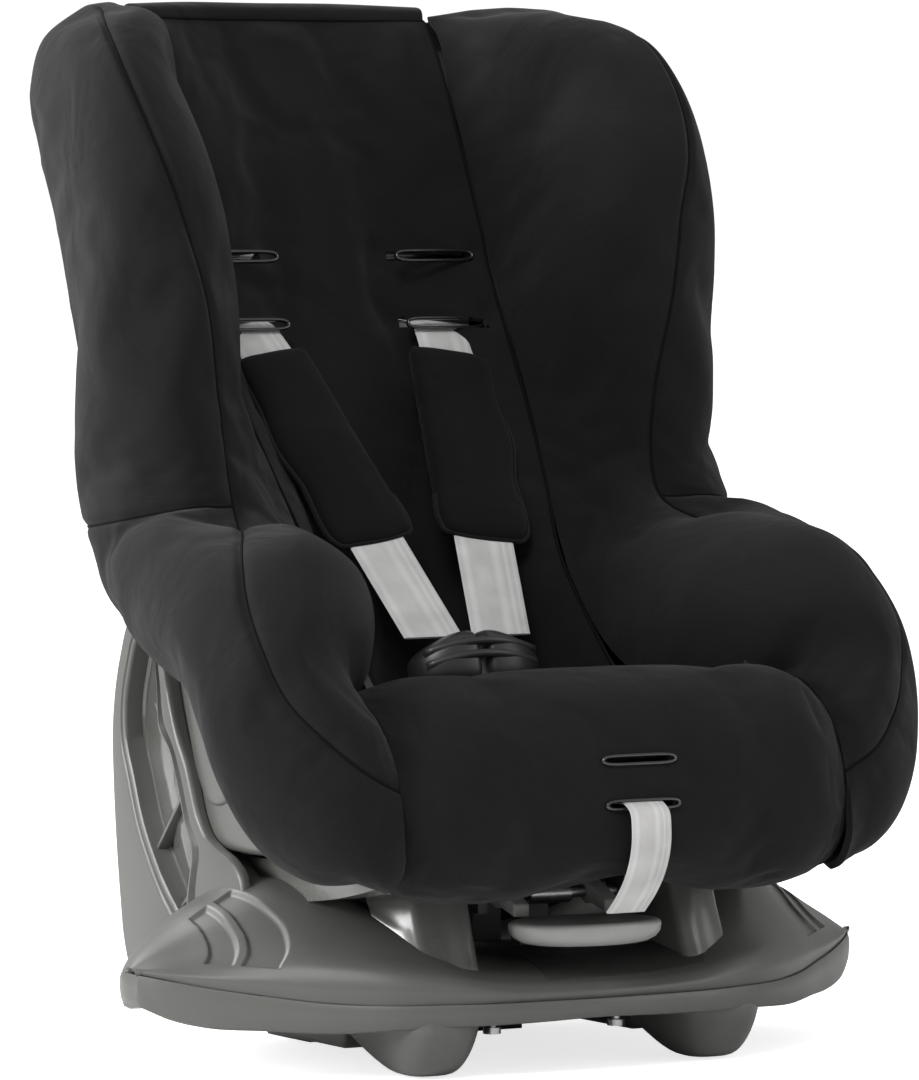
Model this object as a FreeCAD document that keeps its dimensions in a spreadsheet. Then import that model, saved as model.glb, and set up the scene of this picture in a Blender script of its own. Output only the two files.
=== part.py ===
"""Toddler car seat with a five-point harness on a fixed base with a recline.

The frame is in millimetres: +Z up, -Y towards the child's feet, and the
origin on the floor under the middle of the seat's bounding box.
"""
import FreeCAD, Part
import math
import os

from FreeCAD import Placement, Rotation, Vector

doc = FreeCAD.newDocument("ToddlerCarSeat")
sheet = doc.addObject("Spreadsheet::Sheet", "Dimensions")

DIMENSIONS = {
    # overall seat
    "seat_top": 586, "cover_top": 594, "panel_half": 141, "tub_half": 126, "insert_half": 95,
    "shell_wall": 5, "pan_floor": 112, "way_gap": 1,
    # recline: the seat turns about a virtual axis above the child's lap
    "recline_y": -40, "recline_z": 620, "rail_inner": 506, "rail_outer": 528, "recline_max": 9,
    "rail_left_edge": 112, "rail_wide": 28, "slot_stem": 9, "slot_foot": 15, "slide_gap": 0.4,
    # base
    "tip_half": 232, "rim_drop": 14, "skin": 3, "deck_z": 62,
    "upright_in": 143.5, "upright_thick": 25, "recess_deep": 15, "rib_thick": 3,
    "rear_panel_y": 88, "rear_panel_thick": 5, "heel_half": 70, "heel_long": 50,
    "rack_wide": 24, "rack_inner": 514, "rack_outer": 524, "notch_step": 3,
    # seat side panels
    "side_panel_in": 128, "side_panel_thick": 13, "side_field_thick": 16,
    # recline lever
    "lever_half": 62, "lever_low": 76, "lever_thick": 16, "lever_pin_y": -112, "lever_pin_z": 94,
    "pin_radius": 3, "pin_gap": 0.05,
    # harness
    "web_wide": 38, "web_thick": 1.6, "adjuster_wide": 25, "pad_wide": 52, "pad_long": 134,
    "pad_thick": 13, "slot_long": 50, "slot_high": 7, "slot_x": 65, "slot_low_z": 406,
    "slot_step": 39, "buckle_wide": 50, "buckle_deep": 26, "buckle_high": 62,
    "button_travel": 4, "screw_radius": 2.5, "screw_head": 5,
}
for row, (alias, value) in enumerate(DIMENSIONS.items(), start=1):
    sheet.set(f"A{row}", alias)
    sheet.set(f"B{row}", str(value))
    sheet.setAlias(f"B{row}", alias)
doc.recompute()

NODES = {}
AXIS_X = Vector(1, 0, 0)


def dim(alias):
    """Returns one driving dimension from the sheet."""
    return float(sheet.get(alias))


def cell(expression):
    """Turns words such as 'web_wide / 2' into an expression on the sheet."""
    words = expression.replace("(", "( ").replace(")", " )").split()
    return " ".join(f"Dimensions.{word}" if word in DIMENSIONS else word for word in words)


def node(label, item):
    """Names a finished sub-part, which is written to its own file."""
    item.Label = label
    NODES[label] = item
    return item


def feature(label, shape, place=None):
    """Holds a shape that has no simpler parametric form."""
    item = doc.addObject("Part::Feature", label)
    item.Shape = shape
    if place:
        item.Placement = place
    return item


def box(label, size, corner, rotation=None):
    """A block whose sizes and corner are expressions on the sheet."""
    item = doc.addObject("Part::Box", label)
    for side, words in zip(("Length", "Width", "Height"), size):
        item.setExpression(side, cell(words))
    for side, words in zip("xyz", corner):
        item.setExpression(f"Placement.Base.{side}", cell(words))
    if rotation:
        item.Placement.Rotation = rotation
    return item


def cylinder_x(label, radius, length, start):
    """A round bar along X, with its start point given as expressions."""
    item = doc.addObject("Part::Cylinder", label)
    item.setExpression("Radius", cell(radius))
    item.setExpression("Height", cell(length))
    for side, words in zip("xyz", start):
        item.setExpression(f"Placement.Base.{side}", cell(words))
    item.Placement.Rotation = Rotation(Vector(0, 1, 0), 90)
    return item


def rounded(points, radius):
    """Edges of a closed outline with each corner turned by a tangent arc."""
    corners = [Vector(*p, 0) if len(p) == 2 else Vector(*p) for p in points]
    count = len(corners)
    cuts = []
    for i, corner in enumerate(corners):
        before = (corners[i - 1] - corner)
        after = (corners[(i + 1) % count] - corner)
        half = before.getAngle(after) / 2
        reach = min(radius / math.tan(half), 0.48 * before.Length, 0.48 * after.Length)
        turn = reach * math.tan(half)
        bisector = (before.normalize() + after.normalize()).normalize()
        middle = corner + bisector * (turn / math.sin(half) - turn)
        cuts.append((corner + before * reach, middle, corner + after * reach))
    edges = []
    for i, (start, middle, end) in enumerate(cuts):
        edges.append(Part.Arc(start, middle, end))
        edges.append(Part.LineSegment(end, cuts[(i + 1) % count][0]))
    return edges


def pad(label, plane, points, radius, start, length, pockets=()):
    """A PartDesign body: a rounded outline padded from one origin plane.

    Each pocket is (points, radius, depth words) and is cut from the padded end.
    """
    body = doc.addObject("PartDesign::Body", label)
    origin = next(f for f in body.Origin.OriginFeatures if f.Role == plane)

    def sketch_on(name, outline, corner_radius, offset):
        drawing = body.newObject("Sketcher::SketchObject", name)
        drawing.AttachmentSupport = [(origin, "")]
        drawing.MapMode = "FlatFace"
        drawing.setExpression("AttachmentOffset.Base.z", cell(offset))
        drawing.addGeometry(rounded(outline, corner_radius), False)
        return drawing

    solid = body.newObject("PartDesign::Pad", label + "_pad")
    solid.Profile = sketch_on(label + "_outline", points, radius, start)
    solid.setExpression("Length", cell(length))
    for i, (outline, corner_radius, depth) in enumerate(pockets):
        doc.recompute()
        hollow = body.newObject("PartDesign::Pocket", f"{label}_pocket{i}")
        hollow.Profile = sketch_on(f"{label}_hollow{i}", outline, corner_radius,
                                   f"{start} + {length}")
        hollow.setExpression("Length", cell(depth))
    return body


def mirror(label, source):
    """The left piece of a pair."""
    item = doc.addObject("Part::Mirroring", label)
    item.Source = source
    item.Normal = AXIS_X
    return node(label, item)


def fuse(label, parts):
    """One solid from touching pieces."""
    item = doc.addObject("Part::MultiFuse", label)
    item.Shapes = parts
    return item


def cut(label, base, tools):
    """Takes the tools away from the base."""
    item = doc.addObject("Part::Cut", label)
    item.Base = base
    item.Tool = tools[0] if len(tools) == 1 else fuse(label + "_tools", tools)
    return item


def group(label, shapes):
    """Identical fasteners that share one node as separate solids."""
    return node(label, feature(label, Part.makeCompound(shapes)))


def loft(wires, ruled=False):
    """A closed solid through the wires."""
    return Part.makeLoft(wires, True, ruled)


def polygon(points):
    """A closed wire of straight edges."""
    return Part.makePolygon([Vector(*p) for p in points + points[:1]])


def sector(x_low, x_high, inner, outer, start_deg, end_deg):
    """A curved bar about the recline axis; degrees run from straight down, rearwards positive."""
    centre = Vector(x_low, dim("recline_y"), dim("recline_z"))
    face = Part.Face(polygon([
        (x_low, centre.y, centre.z - inner), (x_high, centre.y, centre.z - inner),
        (x_high, centre.y, centre.z - outer), (x_low, centre.y, centre.z - outer)]))
    face.rotate(centre, AXIS_X, start_deg)
    return face.revolve(centre, AXIS_X, end_deg - start_deg)


# ---------------------------------------------------------------- seat tub
# height, half width, front y, rear corner y, rear middle y
TUB = [
    (112, 92, -176, -20, -8), (130, 118, -186, 2, 12), (170, 126, -190, 24, 35),
    (210, 126, -176, 48, 64), (250, 126, -132, 68, 89), (300, 130, -6, 85, 115),
    (350, 160, 34, 98, 137), (444, 180, 34, 112, 173), (520, 177, 52, 146, 205),
    (566, 158, 100, 176, 228), (583, 126, 130, 182, 236),
]
WALL_TOP = 200


def tub_section(height, half, front, corner, middle):
    """One level of the tub: a bowed back, two straight sides and a front."""
    left, right = Vector(-half, corner, height), Vector(half, corner, height)
    low_left, low_right = Vector(-half, front, height), Vector(half, front, height)
    back = Part.Arc(left, Vector(0, middle, height), right).toShape()
    return Part.Wire([back, Part.makeLine(right, low_right), Part.makeLine(low_right, low_left),
                      Part.makeLine(low_left, left)])


def tub_level(height):
    """The tub's sizes at any height, between the listed levels."""
    for low, high in zip(TUB, TUB[1:]):
        if low[0] <= height <= high[0]:
            share = (height - low[0]) / (high[0] - low[0])
            return [a + (b - a) * share for a, b in zip(low, high)]
    return list(TUB[-1])


def tub_outside():
    """The tub's full outer volume."""
    return loft([tub_section(*level) for level in TUB], ruled=True)


def wall_section(height, half, front, corner, middle):
    """One level of the tub's wall: two sides and the bowed back, open in front."""
    wall = dim("shell_wall")
    outer = [Vector(side * half, y, height) for side, y in
             ((-1, front), (-1, corner), (1, corner), (1, front))]
    inner = [Vector(side * (half - wall), y, height) for side, y in
             ((1, front), (1, corner - wall), (-1, corner - wall), (-1, front))]
    backs = [Part.Arc(outer[1], Vector(0, middle, height), outer[2]).toShape(),
             Part.Arc(inner[1], Vector(0, middle - wall, height), inner[2]).toShape()]
    return Part.Wire([
        Part.makeLine(outer[0], outer[1]), backs[0], Part.makeLine(outer[2], outer[3]),
        Part.makeLine(outer[3], inner[0]), Part.makeLine(inner[0], inner[1]), backs[1],
        Part.makeLine(inner[2], inner[3]), Part.makeLine(inner[3], outer[0])])


def strap_slots(y_low, y_high):
    """Four harness slots, two heights on each side."""
    long, high = dim("slot_long"), dim("slot_high")
    cutters = []
    for side in (-1, 1):
        for step in range(2):
            corner = Vector(side * dim("slot_x") - long / 2, y_low,
                            dim("slot_low_z") + step * dim("slot_step") - high / 2)
            cutters.append(Part.makeBox(long, y_high - y_low, high, corner))
    return cutters


TUB_SOLID = tub_outside()
RACK_RELIEF = sector(-15, 15, dim("rack_inner") - 0.6, 560, -30, 30)
RAIL_RELIEFS = [sector(low, low + dim("rail_wide") + 2, dim("rail_inner") - 0.4, 560, -30, 30)
                for low in (dim("rail_left_edge") - 1, -dim("rail_left_edge") - dim("rail_wide") - 1)]
PAWL_HOLE = Part.makeBox(19, 13, 30, Vector(-9.5, -66.5, 100))
CROTCH_SLOT = Part.makeBox(44, 6, 30, Vector(-22, -63, 100)).translate(Vector(0, 24, 0))
ADJUSTER_SLOT = Part.makeBox(34, 20, 10, Vector(-17, -200, 146))
BELT_SLOT_WIDTH = 30


def beam(start, end, wide, thick, across=AXIS_X):
    """A straight flat strap between two points, its width along one direction."""
    run = end - start
    normal = run.cross(across).normalize()
    side = normal.cross(run).normalize() * (wide / 2)
    corner = start - side - normal * (thick / 2)
    up = normal * thick
    face = Part.Face(Part.makePolygon([corner, corner + side * 2, corner + side * 2 + up,
                                       corner + up, corner]))
    return face.extrude(run)


WEB, THIN = dim("web_wide"), dim("web_thick")
LAP_TOP, LAP_END, LAP_WIDTH = Vector(58, -30, 232), Vector(104, 16, 172), Vector(-0.6, 0.7, 0)


def both_sides(shape):
    """A shape and its twin across the middle."""
    return [shape, shape.mirror(Vector(), AXIS_X)]


LAP_WAYS = both_sides(beam(LAP_TOP, LAP_END + (LAP_END - LAP_TOP) * 0.1, WEB + dim("way_gap"),
                           THIN + dim("way_gap"), LAP_WIDTH))
# the tub wall stops short here, so that the arm's padding can round over it
ARM_DIPS = both_sides(Part.Face(polygon([
    (100, -200, 206), (100, -140, 206), (100, -104, 240), (100, -104, 275), (100, -200, 275),
])).extrude(Vector(50, 0, 0)))


def seat_shell():
    """The one-piece plastic tub that carries the covers and the harness."""
    wall, floor_z = dim("shell_wall"), dim("pan_floor") + 6
    floor_level, rim_level = tub_level(floor_z), tub_level(WALL_TOP)
    pan = loft([tub_section(*TUB[0]), tub_section(*floor_level)], ruled=True)
    sides = loft([wall_section(*floor_level)] + [wall_section(*level) for level in TUB[1:]],
                 ruled=True)
    front_levels = [floor_level] + TUB[1:3] + [rim_level]
    front = loft([polygon([(-half + wall, front, z), (half - wall, front, z),
                           (half - wall, front + wall, z), (-half + wall, front + wall, z)])
                  for z, half, front, corner, middle in front_levels], ruled=True)
    shell = pan.fuse(sides).fuse(front)
    shell = shell.cut(strap_slots(100, 220) + [PAWL_HOLE, CROTCH_SLOT, ADJUSTER_SLOT])
    yoke_slot = Part.makeBox(BELT_SLOT_WIDTH, 60, 6, Vector(-BELT_SLOT_WIDTH / 2, 20, 140))
    return shell.cut([yoke_slot, RACK_RELIEF] + RAIL_RELIEFS + LAP_WAYS + ARM_DIPS)

node("seat_shell", feature("seat_shell", seat_shell()))

# ---------------------------------------------------------------- shell side panels
SIDE_OUTLINE = [(62, 262), (60, 215), (44, 164), (26, 128), (4, 118), (-150, 118), (-176, 140),
                (-176, 176), (-158, 196), (-122, 228), (-66, 260), (0, 272)]
SIDE_FIELD = [(40, 212), (29, 178), (8, 136), (-14, 121), (-60, 118), (-112, 118), (-124, 130),
              (-92, 170), (-57, 208), (-22, 228), (4, 240), (40, 238)]

panel_plate = pad("side_panel_plate", "YZ_Plane", SIDE_OUTLINE, 14, "side_panel_in",
                  "side_panel_thick")
panel_field = pad("side_panel_field", "YZ_Plane", SIDE_FIELD, 12,
                  "side_panel_in + side_panel_thick", "side_field_thick")
side_panel = node("shell_side_panel_right", cut(
    "side_panel_cut", fuse("side_panel_right", [panel_plate, panel_field]),
    [feature("rail_relief", RAIL_RELIEFS[0])]))
mirror("shell_side_panel_left", side_panel)


# ---------------------------------------------------------------- recline rails and glides
def slot_section(grow, start_deg, end_deg):
    """The T-shaped way in a rail, or with grow below zero the glide that runs in it."""
    middle = dim("rail_left_edge") + dim("rail_wide") / 2
    stem, foot = dim("slot_stem") / 2 + grow, dim("slot_foot") / 2 + grow
    top, shelf = dim("rail_inner"), dim("rail_inner") + 6
    bottom = shelf + 9
    neck = sector(middle - stem, middle + stem, top - 6, shelf + 1, start_deg, end_deg)
    shoe = sector(middle - foot, middle + foot, shelf - grow, bottom + grow, start_deg, end_deg)
    return neck.fuse(shoe)


def guide_rail():
    """Curved rail on the base, with a captive T-slot open along its top."""
    left = dim("rail_left_edge")
    bar = sector(left, left + dim("rail_wide"), dim("rail_inner"), dim("rail_outer"), -14, 9)
    return bar.cut(slot_section(0, -13.2, 8))


guide = node("guide_rail_right", feature("guide_rail_right", guide_rail()))
mirror("guide_rail_left", guide)

glide_shoe = slot_section(-dim("slide_gap"), -3.5, 6.5)
glide_head = sector(dim("side_panel_in") - 11, dim("side_panel_in") - 0.1, 500, 505.6, -3.5, 6.5)
glide_shape = glide_shoe.fuse(glide_head).cut(TUB_SOLID).cut(
    Part.makeBox(40, 300, 60, Vector(dim("side_panel_in"), -150, 118)))
glide = node("rail_glide_right", feature("rail_glide_right", glide_shape))
mirror("rail_glide_left", glide)

# ---------------------------------------------------------------- base: top cover and tray
# x, front y, rear y, rim height, y and height of the slope's middle, y and height of the crest
PLATE = [
    (0, -176, 80, 40, -150, 57, -60, 62), (62, -172, 80, 40, -148, 61, -60, 66),
    (86, -167, 78, 41, -140, 72, -62, 84), (112, -158, 74, 42, -128, 80, -62, 100),
    (150, -136, 62, 44, -104, 84, -54, 103), (180, -112, 40, 48, -86, 78, -48, 91),
    (205, -90, 14, 52, -70, 70, -46, 78), (222, -74, -16, 55, -63, 64, -50, 68),
    (232, -62, -44, 57, -57, 59, -53, 60),
]


def plate_section(level, side, inset=0.0, lowered=0.0):
    """One upright slice of the base's top cover, front to rear."""
    x, front, rear, rim, slope_y, slope_z, crest_y, crest_z = level
    points = [(front + inset, rim - lowered), (slope_y + inset, slope_z - inset),
              (crest_y, crest_z - inset), ((crest_y + rear) / 2, (2 * crest_z + rim) / 3 - inset),
              (rear - inset, rim - lowered)]
    curve = Part.BSplineCurve()
    curve.interpolate([Vector(side * x, *p) for p in points])
    base = Part.makeLine(Vector(side * x, *points[-1]), Vector(side * x, *points[0]))
    return Part.Wire([curve.toShape(), base])


def plate_solid(inset=0.0, lowered=0.0):
    """The whole lens-shaped plate, tip to tip."""
    levels = [(level, -1) for level in reversed(PLATE[1:])] + [(level, 1) for level in PLATE]
    if inset:
        levels = levels[1:-1]
    return loft([plate_section(level, side, inset, lowered) for level, side in levels])


PLATE_SOLID = plate_solid()
RAIL_ROOMS = both_sides(sector(dim("rail_left_edge"), dim("rail_left_edge") + dim("rail_wide"),
                               dim("rail_inner") - 1, dim("rail_outer"), -14, 9))
top_cover_shape = PLATE_SOLID.cut([plate_solid(dim("skin"), 1.0)] + RAIL_ROOMS)
node("base_top_cover", feature("base_top_cover", top_cover_shape))


def tray_section(level, side, inset=0.0):
    """One slice of the tray under the parting line."""
    x, front, rear, rim = level[:4]
    drop = min(dim("rim_drop"), (rear - front) / 4)
    lip = drop * 0.8
    top = rim - 0.5 + (inset > 0)
    return polygon([
        (side * x, front + 1 + inset, top), (side * x, front + 1 + lip + inset, rim - drop + inset),
        (side * x, rear - 1 - lip - inset, rim - drop + inset), (side * x, rear - 1 - inset, top)])


def tray_solid(inset=0.0):
    """The tray's volume, tip to tip."""
    levels = [(level, -1) for level in reversed(PLATE[1:])] + [(level, 1) for level in PLATE]
    if inset:
        levels = levels[1:-1]
    return loft([tray_section(level, side, inset) for level, side in levels], ruled=True)


def bottom_shell():
    """Tray with its side skirts and two long runners."""
    outer = tray_solid()
    floor_z = 30
    extras = []
    for side in (-1, 1):
        skirt = Part.makeBox(40, 96, 22, Vector(150, -98, 28)) if side > 0 else \
            Part.makeBox(40, 96, 22, Vector(-190, -98, 28))
        runner = Part.makeBox(26, 150, 24, Vector(80 if side > 0 else -106, -66, 9))
        extras += [skirt, runner]
    body = outer.multiFuse(extras)
    body = body.cut(tray_solid(dim("skin")))
    top_cut = Part.makeBox(600, 600, 100, Vector(-300, -300, 56.4))
    screws = [Part.makeCylinder(dim("screw_radius") + 0.2, 40, Vector(x, y, 5))
              for x, y in SCREW_PLACES]
    heads = [Part.makeCylinder(dim("screw_head") + 0.4, 4.2, Vector(x, y, floor_z - 8))
             for x, y in SCREW_PLACES]
    return body.cut([top_cut, PLATE_SOLID] + screws + heads)


SCREW_PLACES = [(side * x, y) for side in (-1, 1) for x, y in ((40, -120), (40, 20), (140, -40))]
node("base_bottom_shell", feature("base_bottom_shell", bottom_shell()))


def foot():
    """Front foot: a fin with a long ramp at the back and a steep nose."""
    levels = [(34, 66, 114, -158, -70), (20, 70, 110, -155, -88), (8, 75, 105, -149, -112),
              (2, 80, 100, -142, -124), (0, 83, 97, -138, -128)]
    wires = []
    for height, left, right, front, rear in levels:
        corners = [(left, front, height), (right, front, height), (right, rear, height),
                   (left, rear, height)]
        radius = 0.42 * min(right - left, rear - front)
        wires.append(Part.Wire([edge.toShape() for edge in rounded(corners, radius)]))
    solid = loft(wires, ruled=True)
    return solid.cut([BOTTOM, PLATE_SOLID])


BOTTOM = tray_solid()
front_foot = node("front_foot_right", feature("front_foot_right", foot()))
mirror("front_foot_left", front_foot)


# ---------------------------------------------------------------- base: uprights and rear panel
UPRIGHT_OUTLINE = [(56, 244), (88, 236), (112, 190), (109, 140), (102, 90), (92, 56), (84, 44),
                   (-40, 44), (-46, 100), (-20, 116), (14, 134), (36, 178), (47, 214)]
RECESS_OUTLINE = [(60, 234), (74, 222), (83, 196), (77, 160), (56, 116), (42, 92), (30, 112),
                  (40, 145), (56, 178), (56, 216)]


def upright():
    """Side pod: a thick outer flange round a D-shaped recess with slanting ribs."""
    block = pad("upright_block", "YZ_Plane", UPRIGHT_OUTLINE, 16, "upright_in", "upright_thick",
                [(RECESS_OUTLINE, 7, "recess_deep")])
    ribs = []
    for count, (y, height) in enumerate([(50, 178), (34, 108)]):
        ribs.append(box(f"upright_rib{count}", ("recess_deep - 2", "rib_thick", "34"),
                        ("upright_in + upright_thick - recess_deep", str(y), str(height)),
                        Rotation(AXIS_X, -42)))
    return fuse("upright_body", [block] + ribs)


plate_tool = feature("plate_tool", PLATE_SOLID.fuse(BOTTOM))
base_upright = node("base_upright_right", cut("upright_cut_right", upright(), [plate_tool]))
mirror("base_upright_left", base_upright)

REAR_OUTLINE = [(-143, 84), (143, 84), (143, 200), (96, 196), (60, 168), (-60, 168), (-96, 196),
                (-143, 200)]
node("base_rear_panel", pad("rear_block", "XZ_Plane", REAR_OUTLINE, 18,
                            "0 - rear_panel_y - rear_panel_thick", "rear_panel_thick"))
foot_block = box("panel_foot", ("284", "24", "60"), ("0 - 142", "rear_panel_y - 23.9", "24"))
node("base_cross_beam", cut("cross_beam_cut", foot_block, [plate_tool, feature(
    "shell_tool", NODES["base_bottom_shell"].Shape)]))
heel = box("heel_block", ("2 * heel_half", "heel_long", "29"),
           ("0 - heel_half", "84 - heel_long", "0"))
node("rear_heel", cut("heel_cut", heel, [feature("tray_tool", BOTTOM), feature(
    "beam_tool", Part.makeBox(284, 24, 60, Vector(-142, dim("rear_panel_y") - 23.9, 24)))]))


# ---------------------------------------------------------------- recline lock
def recline_rack():
    """Notched bar that the lock pawl drops into."""
    half = dim("rack_wide") / 2
    bar = sector(-half, half, dim("rack_inner"), dim("rack_outer"), -13, 2)
    centre = Vector(0, dim("recline_y"), dim("recline_z"))
    notches = []
    for step in range(4):
        notch = Part.makeBox(2 * half, 14, 6, Vector(-half, centre.y - 27, centre.z - 520))
        notch.rotate(centre, AXIS_X, -step * dim("notch_step"))
        notches.append(notch)
    posts = [Part.makeBox(2 * half - 6, 10, 46, Vector(3 - half, y, 50)) for y in (-98, -46)]
    return bar.cut(notches).fuse(posts).cut(PLATE_SOLID)


node("recline_rack", feature("recline_rack", recline_rack()))
pawl = node("lock_pawl", box("lock_pawl_block", ("18", "12", "24"),
                             ("0 - 9", "0 - 66", "recline_z - rack_inner + 1.6")))
guide_block = box("pawl_guide_block", ("34", "26", "20"), ("0 - 17", "0 - 73", "118.2"))
guide_way = box("pawl_guide_way", ("18.8", "12.8", "40"), ("0 - 9.4", "0 - 66.4", "110"))
node("pawl_guide", cut("pawl_guide_cut", guide_block, [guide_way]))

LEVER_OUTLINE = [(-62, -150), (-40, -176), (0, -186), (40, -176), (62, -150), (52, -130),
                 (20, -124), (-20, -124), (-52, -130)]
lever_parts = [pad("lever_paddle", "XY_Plane", LEVER_OUTLINE, 16, "lever_low", "lever_thick")]
for count, x in enumerate((-34, 24)):
    lever_parts.append(box(f"lever_arm{count}", ("10", "24", "9"),
                           (str(x), "lever_pin_y - 24", "lever_pin_z - 6")))
    lever_parts.append(cylinder_x(f"lever_eye{count}", "7", "10",
                                  (str(x), "lever_pin_y", "lever_pin_z")))
lever_bore = cylinder_x("lever_bore", "pin_radius + pin_gap", "120",
                        ("0 - 60", "lever_pin_y", "lever_pin_z"))
node("recline_lever", cut("recline_lever_cut", fuse("lever_solid", lever_parts), [lever_bore]))
node("lever_pin", cylinder_x("lever_pin_rod", "pin_radius", "104",
                             ("0 - 52", "lever_pin_y", "lever_pin_z")))
bracket_lugs = [box(f"bracket_lug{i}", ("6", "20", "26"), (str(x), "lever_pin_y - 10", "85.9"))
                for i, x in enumerate((-50, 44))]
pin_way = cylinder_x("bracket_pin_way", "pin_radius", "120",
                     ("0 - 60", "lever_pin_y", "lever_pin_z"))
node("lever_bracket", cut("lever_bracket_cut", fuse("bracket_pair", bracket_lugs), [pin_way]))
spring_body = cylinder_x("spring_body", "5.6", "26", ("0 - 13", "lever_pin_y", "lever_pin_z"))
spring_way = cylinder_x("spring_way", "3.6", "30", ("0 - 15", "lever_pin_y", "lever_pin_z"))
node("lever_spring", cut("lever_spring_cut", spring_body, [spring_way]))


# ---------------------------------------------------------------- harness
STRAP_TOP = Vector(dim("slot_x"), 116, dim("slot_low_z"))
STRAP_END = Vector(22, -24, 232)
STRAP_RUN = (STRAP_END - STRAP_TOP).normalize()
BACK_TOP = Vector(dim("slot_x"), 168, dim("slot_low_z"))
YOKE_AT = Vector(26, 124, 296)


def shoulder_strap():
    """Webbing from the slot in the back down to the tongue."""
    through = Part.makeBox(WEB, BACK_TOP.y - 115, THIN,
                           Vector(STRAP_TOP.x - WEB / 2, 115, STRAP_TOP.z - THIN / 2))
    return beam(STRAP_TOP, STRAP_END, WEB, THIN).fuse(through)


def shoulder_pad():
    """Wrap-round pad with a way through it for the webbing."""
    start = STRAP_TOP + STRAP_RUN * 24
    end = start + STRAP_RUN * dim("pad_long")
    way = beam(start - STRAP_RUN * 9, end + STRAP_RUN * 9, WEB + 3, THIN + 1.4)
    return beam(start, end, dim("pad_wide"), dim("pad_thick")).cut(way)


harness = node("shoulder_strap_right", feature("shoulder_strap_right", shoulder_strap()))
mirror("shoulder_strap_left", harness)
pad_right = node("shoulder_pad_right", feature("shoulder_pad_right", shoulder_pad()))
mirror("shoulder_pad_left", pad_right)
rear_web = beam(BACK_TOP + Vector(0, 3, 0), YOKE_AT, WEB, THIN)
back_strap = node("back_strap_right", feature("back_strap_right", rear_web.cut(
    Part.makeBox(300, 3.2, 300, Vector(-150, BACK_TOP.y - 2.9, 250)))))
mirror("back_strap_left", back_strap)

yoke_plate = beam(YOKE_AT - Vector(26, 2, 6), YOKE_AT - Vector(26, 14, 40), 96, 3)
node("strap_yoke", feature("strap_yoke", yoke_plate.cut(
    beam(YOKE_AT - Vector(26, 6, 14), YOKE_AT - Vector(26, 7.4, 18), 60, 8))))
node("yoke_strap", feature("yoke_strap", beam(
    YOKE_AT - Vector(26, 14.4, 41), Vector(0, 34, 146), dim("adjuster_wide"), THIN)))

buckle_at = (0, -34, 196)
buckle_tilt = Rotation(AXIS_X, -14)
buckle_block = Part.makeBox(dim("buckle_wide"), dim("buckle_deep"), dim("buckle_high"),
                            Vector(-dim("buckle_wide") / 2, -13, -31))
button_room = Part.makeBox(25, 9, 17, Vector(-12.5, -13.5, -13))
tongue_room = Part.makeBox(40, 8, 24, Vector(-20, -4, 12))
housing = buckle_block.makeFillet(7, [edge for edge in buckle_block.Edges])
node("buckle_housing", feature("buckle_housing", housing.cut([button_room, tongue_room]),
                               Placement(Vector(*buckle_at), buckle_tilt)))
button = Part.makeBox(24, 4.6, 16, Vector(-12, -14.2, -12.5))
node("buckle_button", feature("buckle_button", button.makeFillet(1.2, button.Edges),
                              Placement(Vector(*buckle_at), buckle_tilt)))
tongue = Part.makeBox(19, 3, 22, Vector(0.4, -1.5, 13)).fuse(
    Part.makeBox(33, 3, 20, Vector(0.4, -1.5, 34)))
tongue = tongue.cut(Part.makeBox(24, 8, 4, Vector(5, -4, 44)))
tongue_right = node("tongue_right", feature("tongue_right", tongue.cut(beam(
    STRAP_TOP, STRAP_END + STRAP_RUN * 2, WEB + 4, THIN + 1).transformed(
        Placement(Vector(*buckle_at), buckle_tilt).inverse().toMatrix())),
    Placement(Vector(*buckle_at), buckle_tilt)))
mirror("tongue_left", tongue_right)
node("crotch_strap", feature("crotch_strap", beam(
    Vector(0, -41.6, 165), Vector(0, -36, 114), WEB, THIN)))

lap = beam(LAP_TOP, LAP_END, WEB, THIN, LAP_WIDTH)
lap_strap = node("lap_strap_right", feature("lap_strap_right", lap))
mirror("lap_strap_left", lap_strap)

# ---------------------------------------------------------------- harness adjuster
ADJUSTER_RUN = [(-172, 150), (-212, 151), (-229, 147), (-235, 128), (-226, 108), (-206, 92),
                (-207, 90.5), (-227.4, 106.8), (-236.8, 128), (-230.4, 148.6), (-212, 152.6),
                (-172, 151.6)]
adjuster_strap = pad("adjuster_web", "YZ_Plane", ADJUSTER_RUN, 0.5, "0 - adjuster_wide / 2",
                     "adjuster_wide")
node("adjuster_strap", adjuster_strap)
housing_block = box("adjuster_block", ("44", "24", "30"), ("0 - 22", "0 - 178", "158"))
lever_room = box("adjuster_room", ("31", "18", "24"), ("0 - 15.5", "0 - 178.1", "164"))
web_way = box("adjuster_way", ("27", "60", "2"), ("0 - 13.5", "0 - 190", "160"))
node("adjuster_housing", cut("adjuster_cut", housing_block, [lever_room, web_way]))
node("adjuster_button", box("adjuster_press", ("30", "8", "19"), ("0 - 15", "0 - 176.5", "165")))


# ---------------------------------------------------------------- covers and padding
# height, half width at the seam, inner and outer x, front and rear y of the side's padding
SIDE = [
    (104, 142, 160, -198, -166), (127, 142, 200, -205, -132), (167, 142, 219, -206, -100),
    (205, 142, 222, -200, -65), (245, 142, 221, -170, 0), (281, 142, 214, -118, 62),
    (305, 138, 203, -62, 88), (335, 136, 191, -4, 100), (380, 138, 190, 6, 106),
    (440, 146, 194, 12, 118), (500, 152, 194, 22, 148), (550, 150, 187, 44, 188),
    (588, 138, 158, 118, 194),
]


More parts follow.
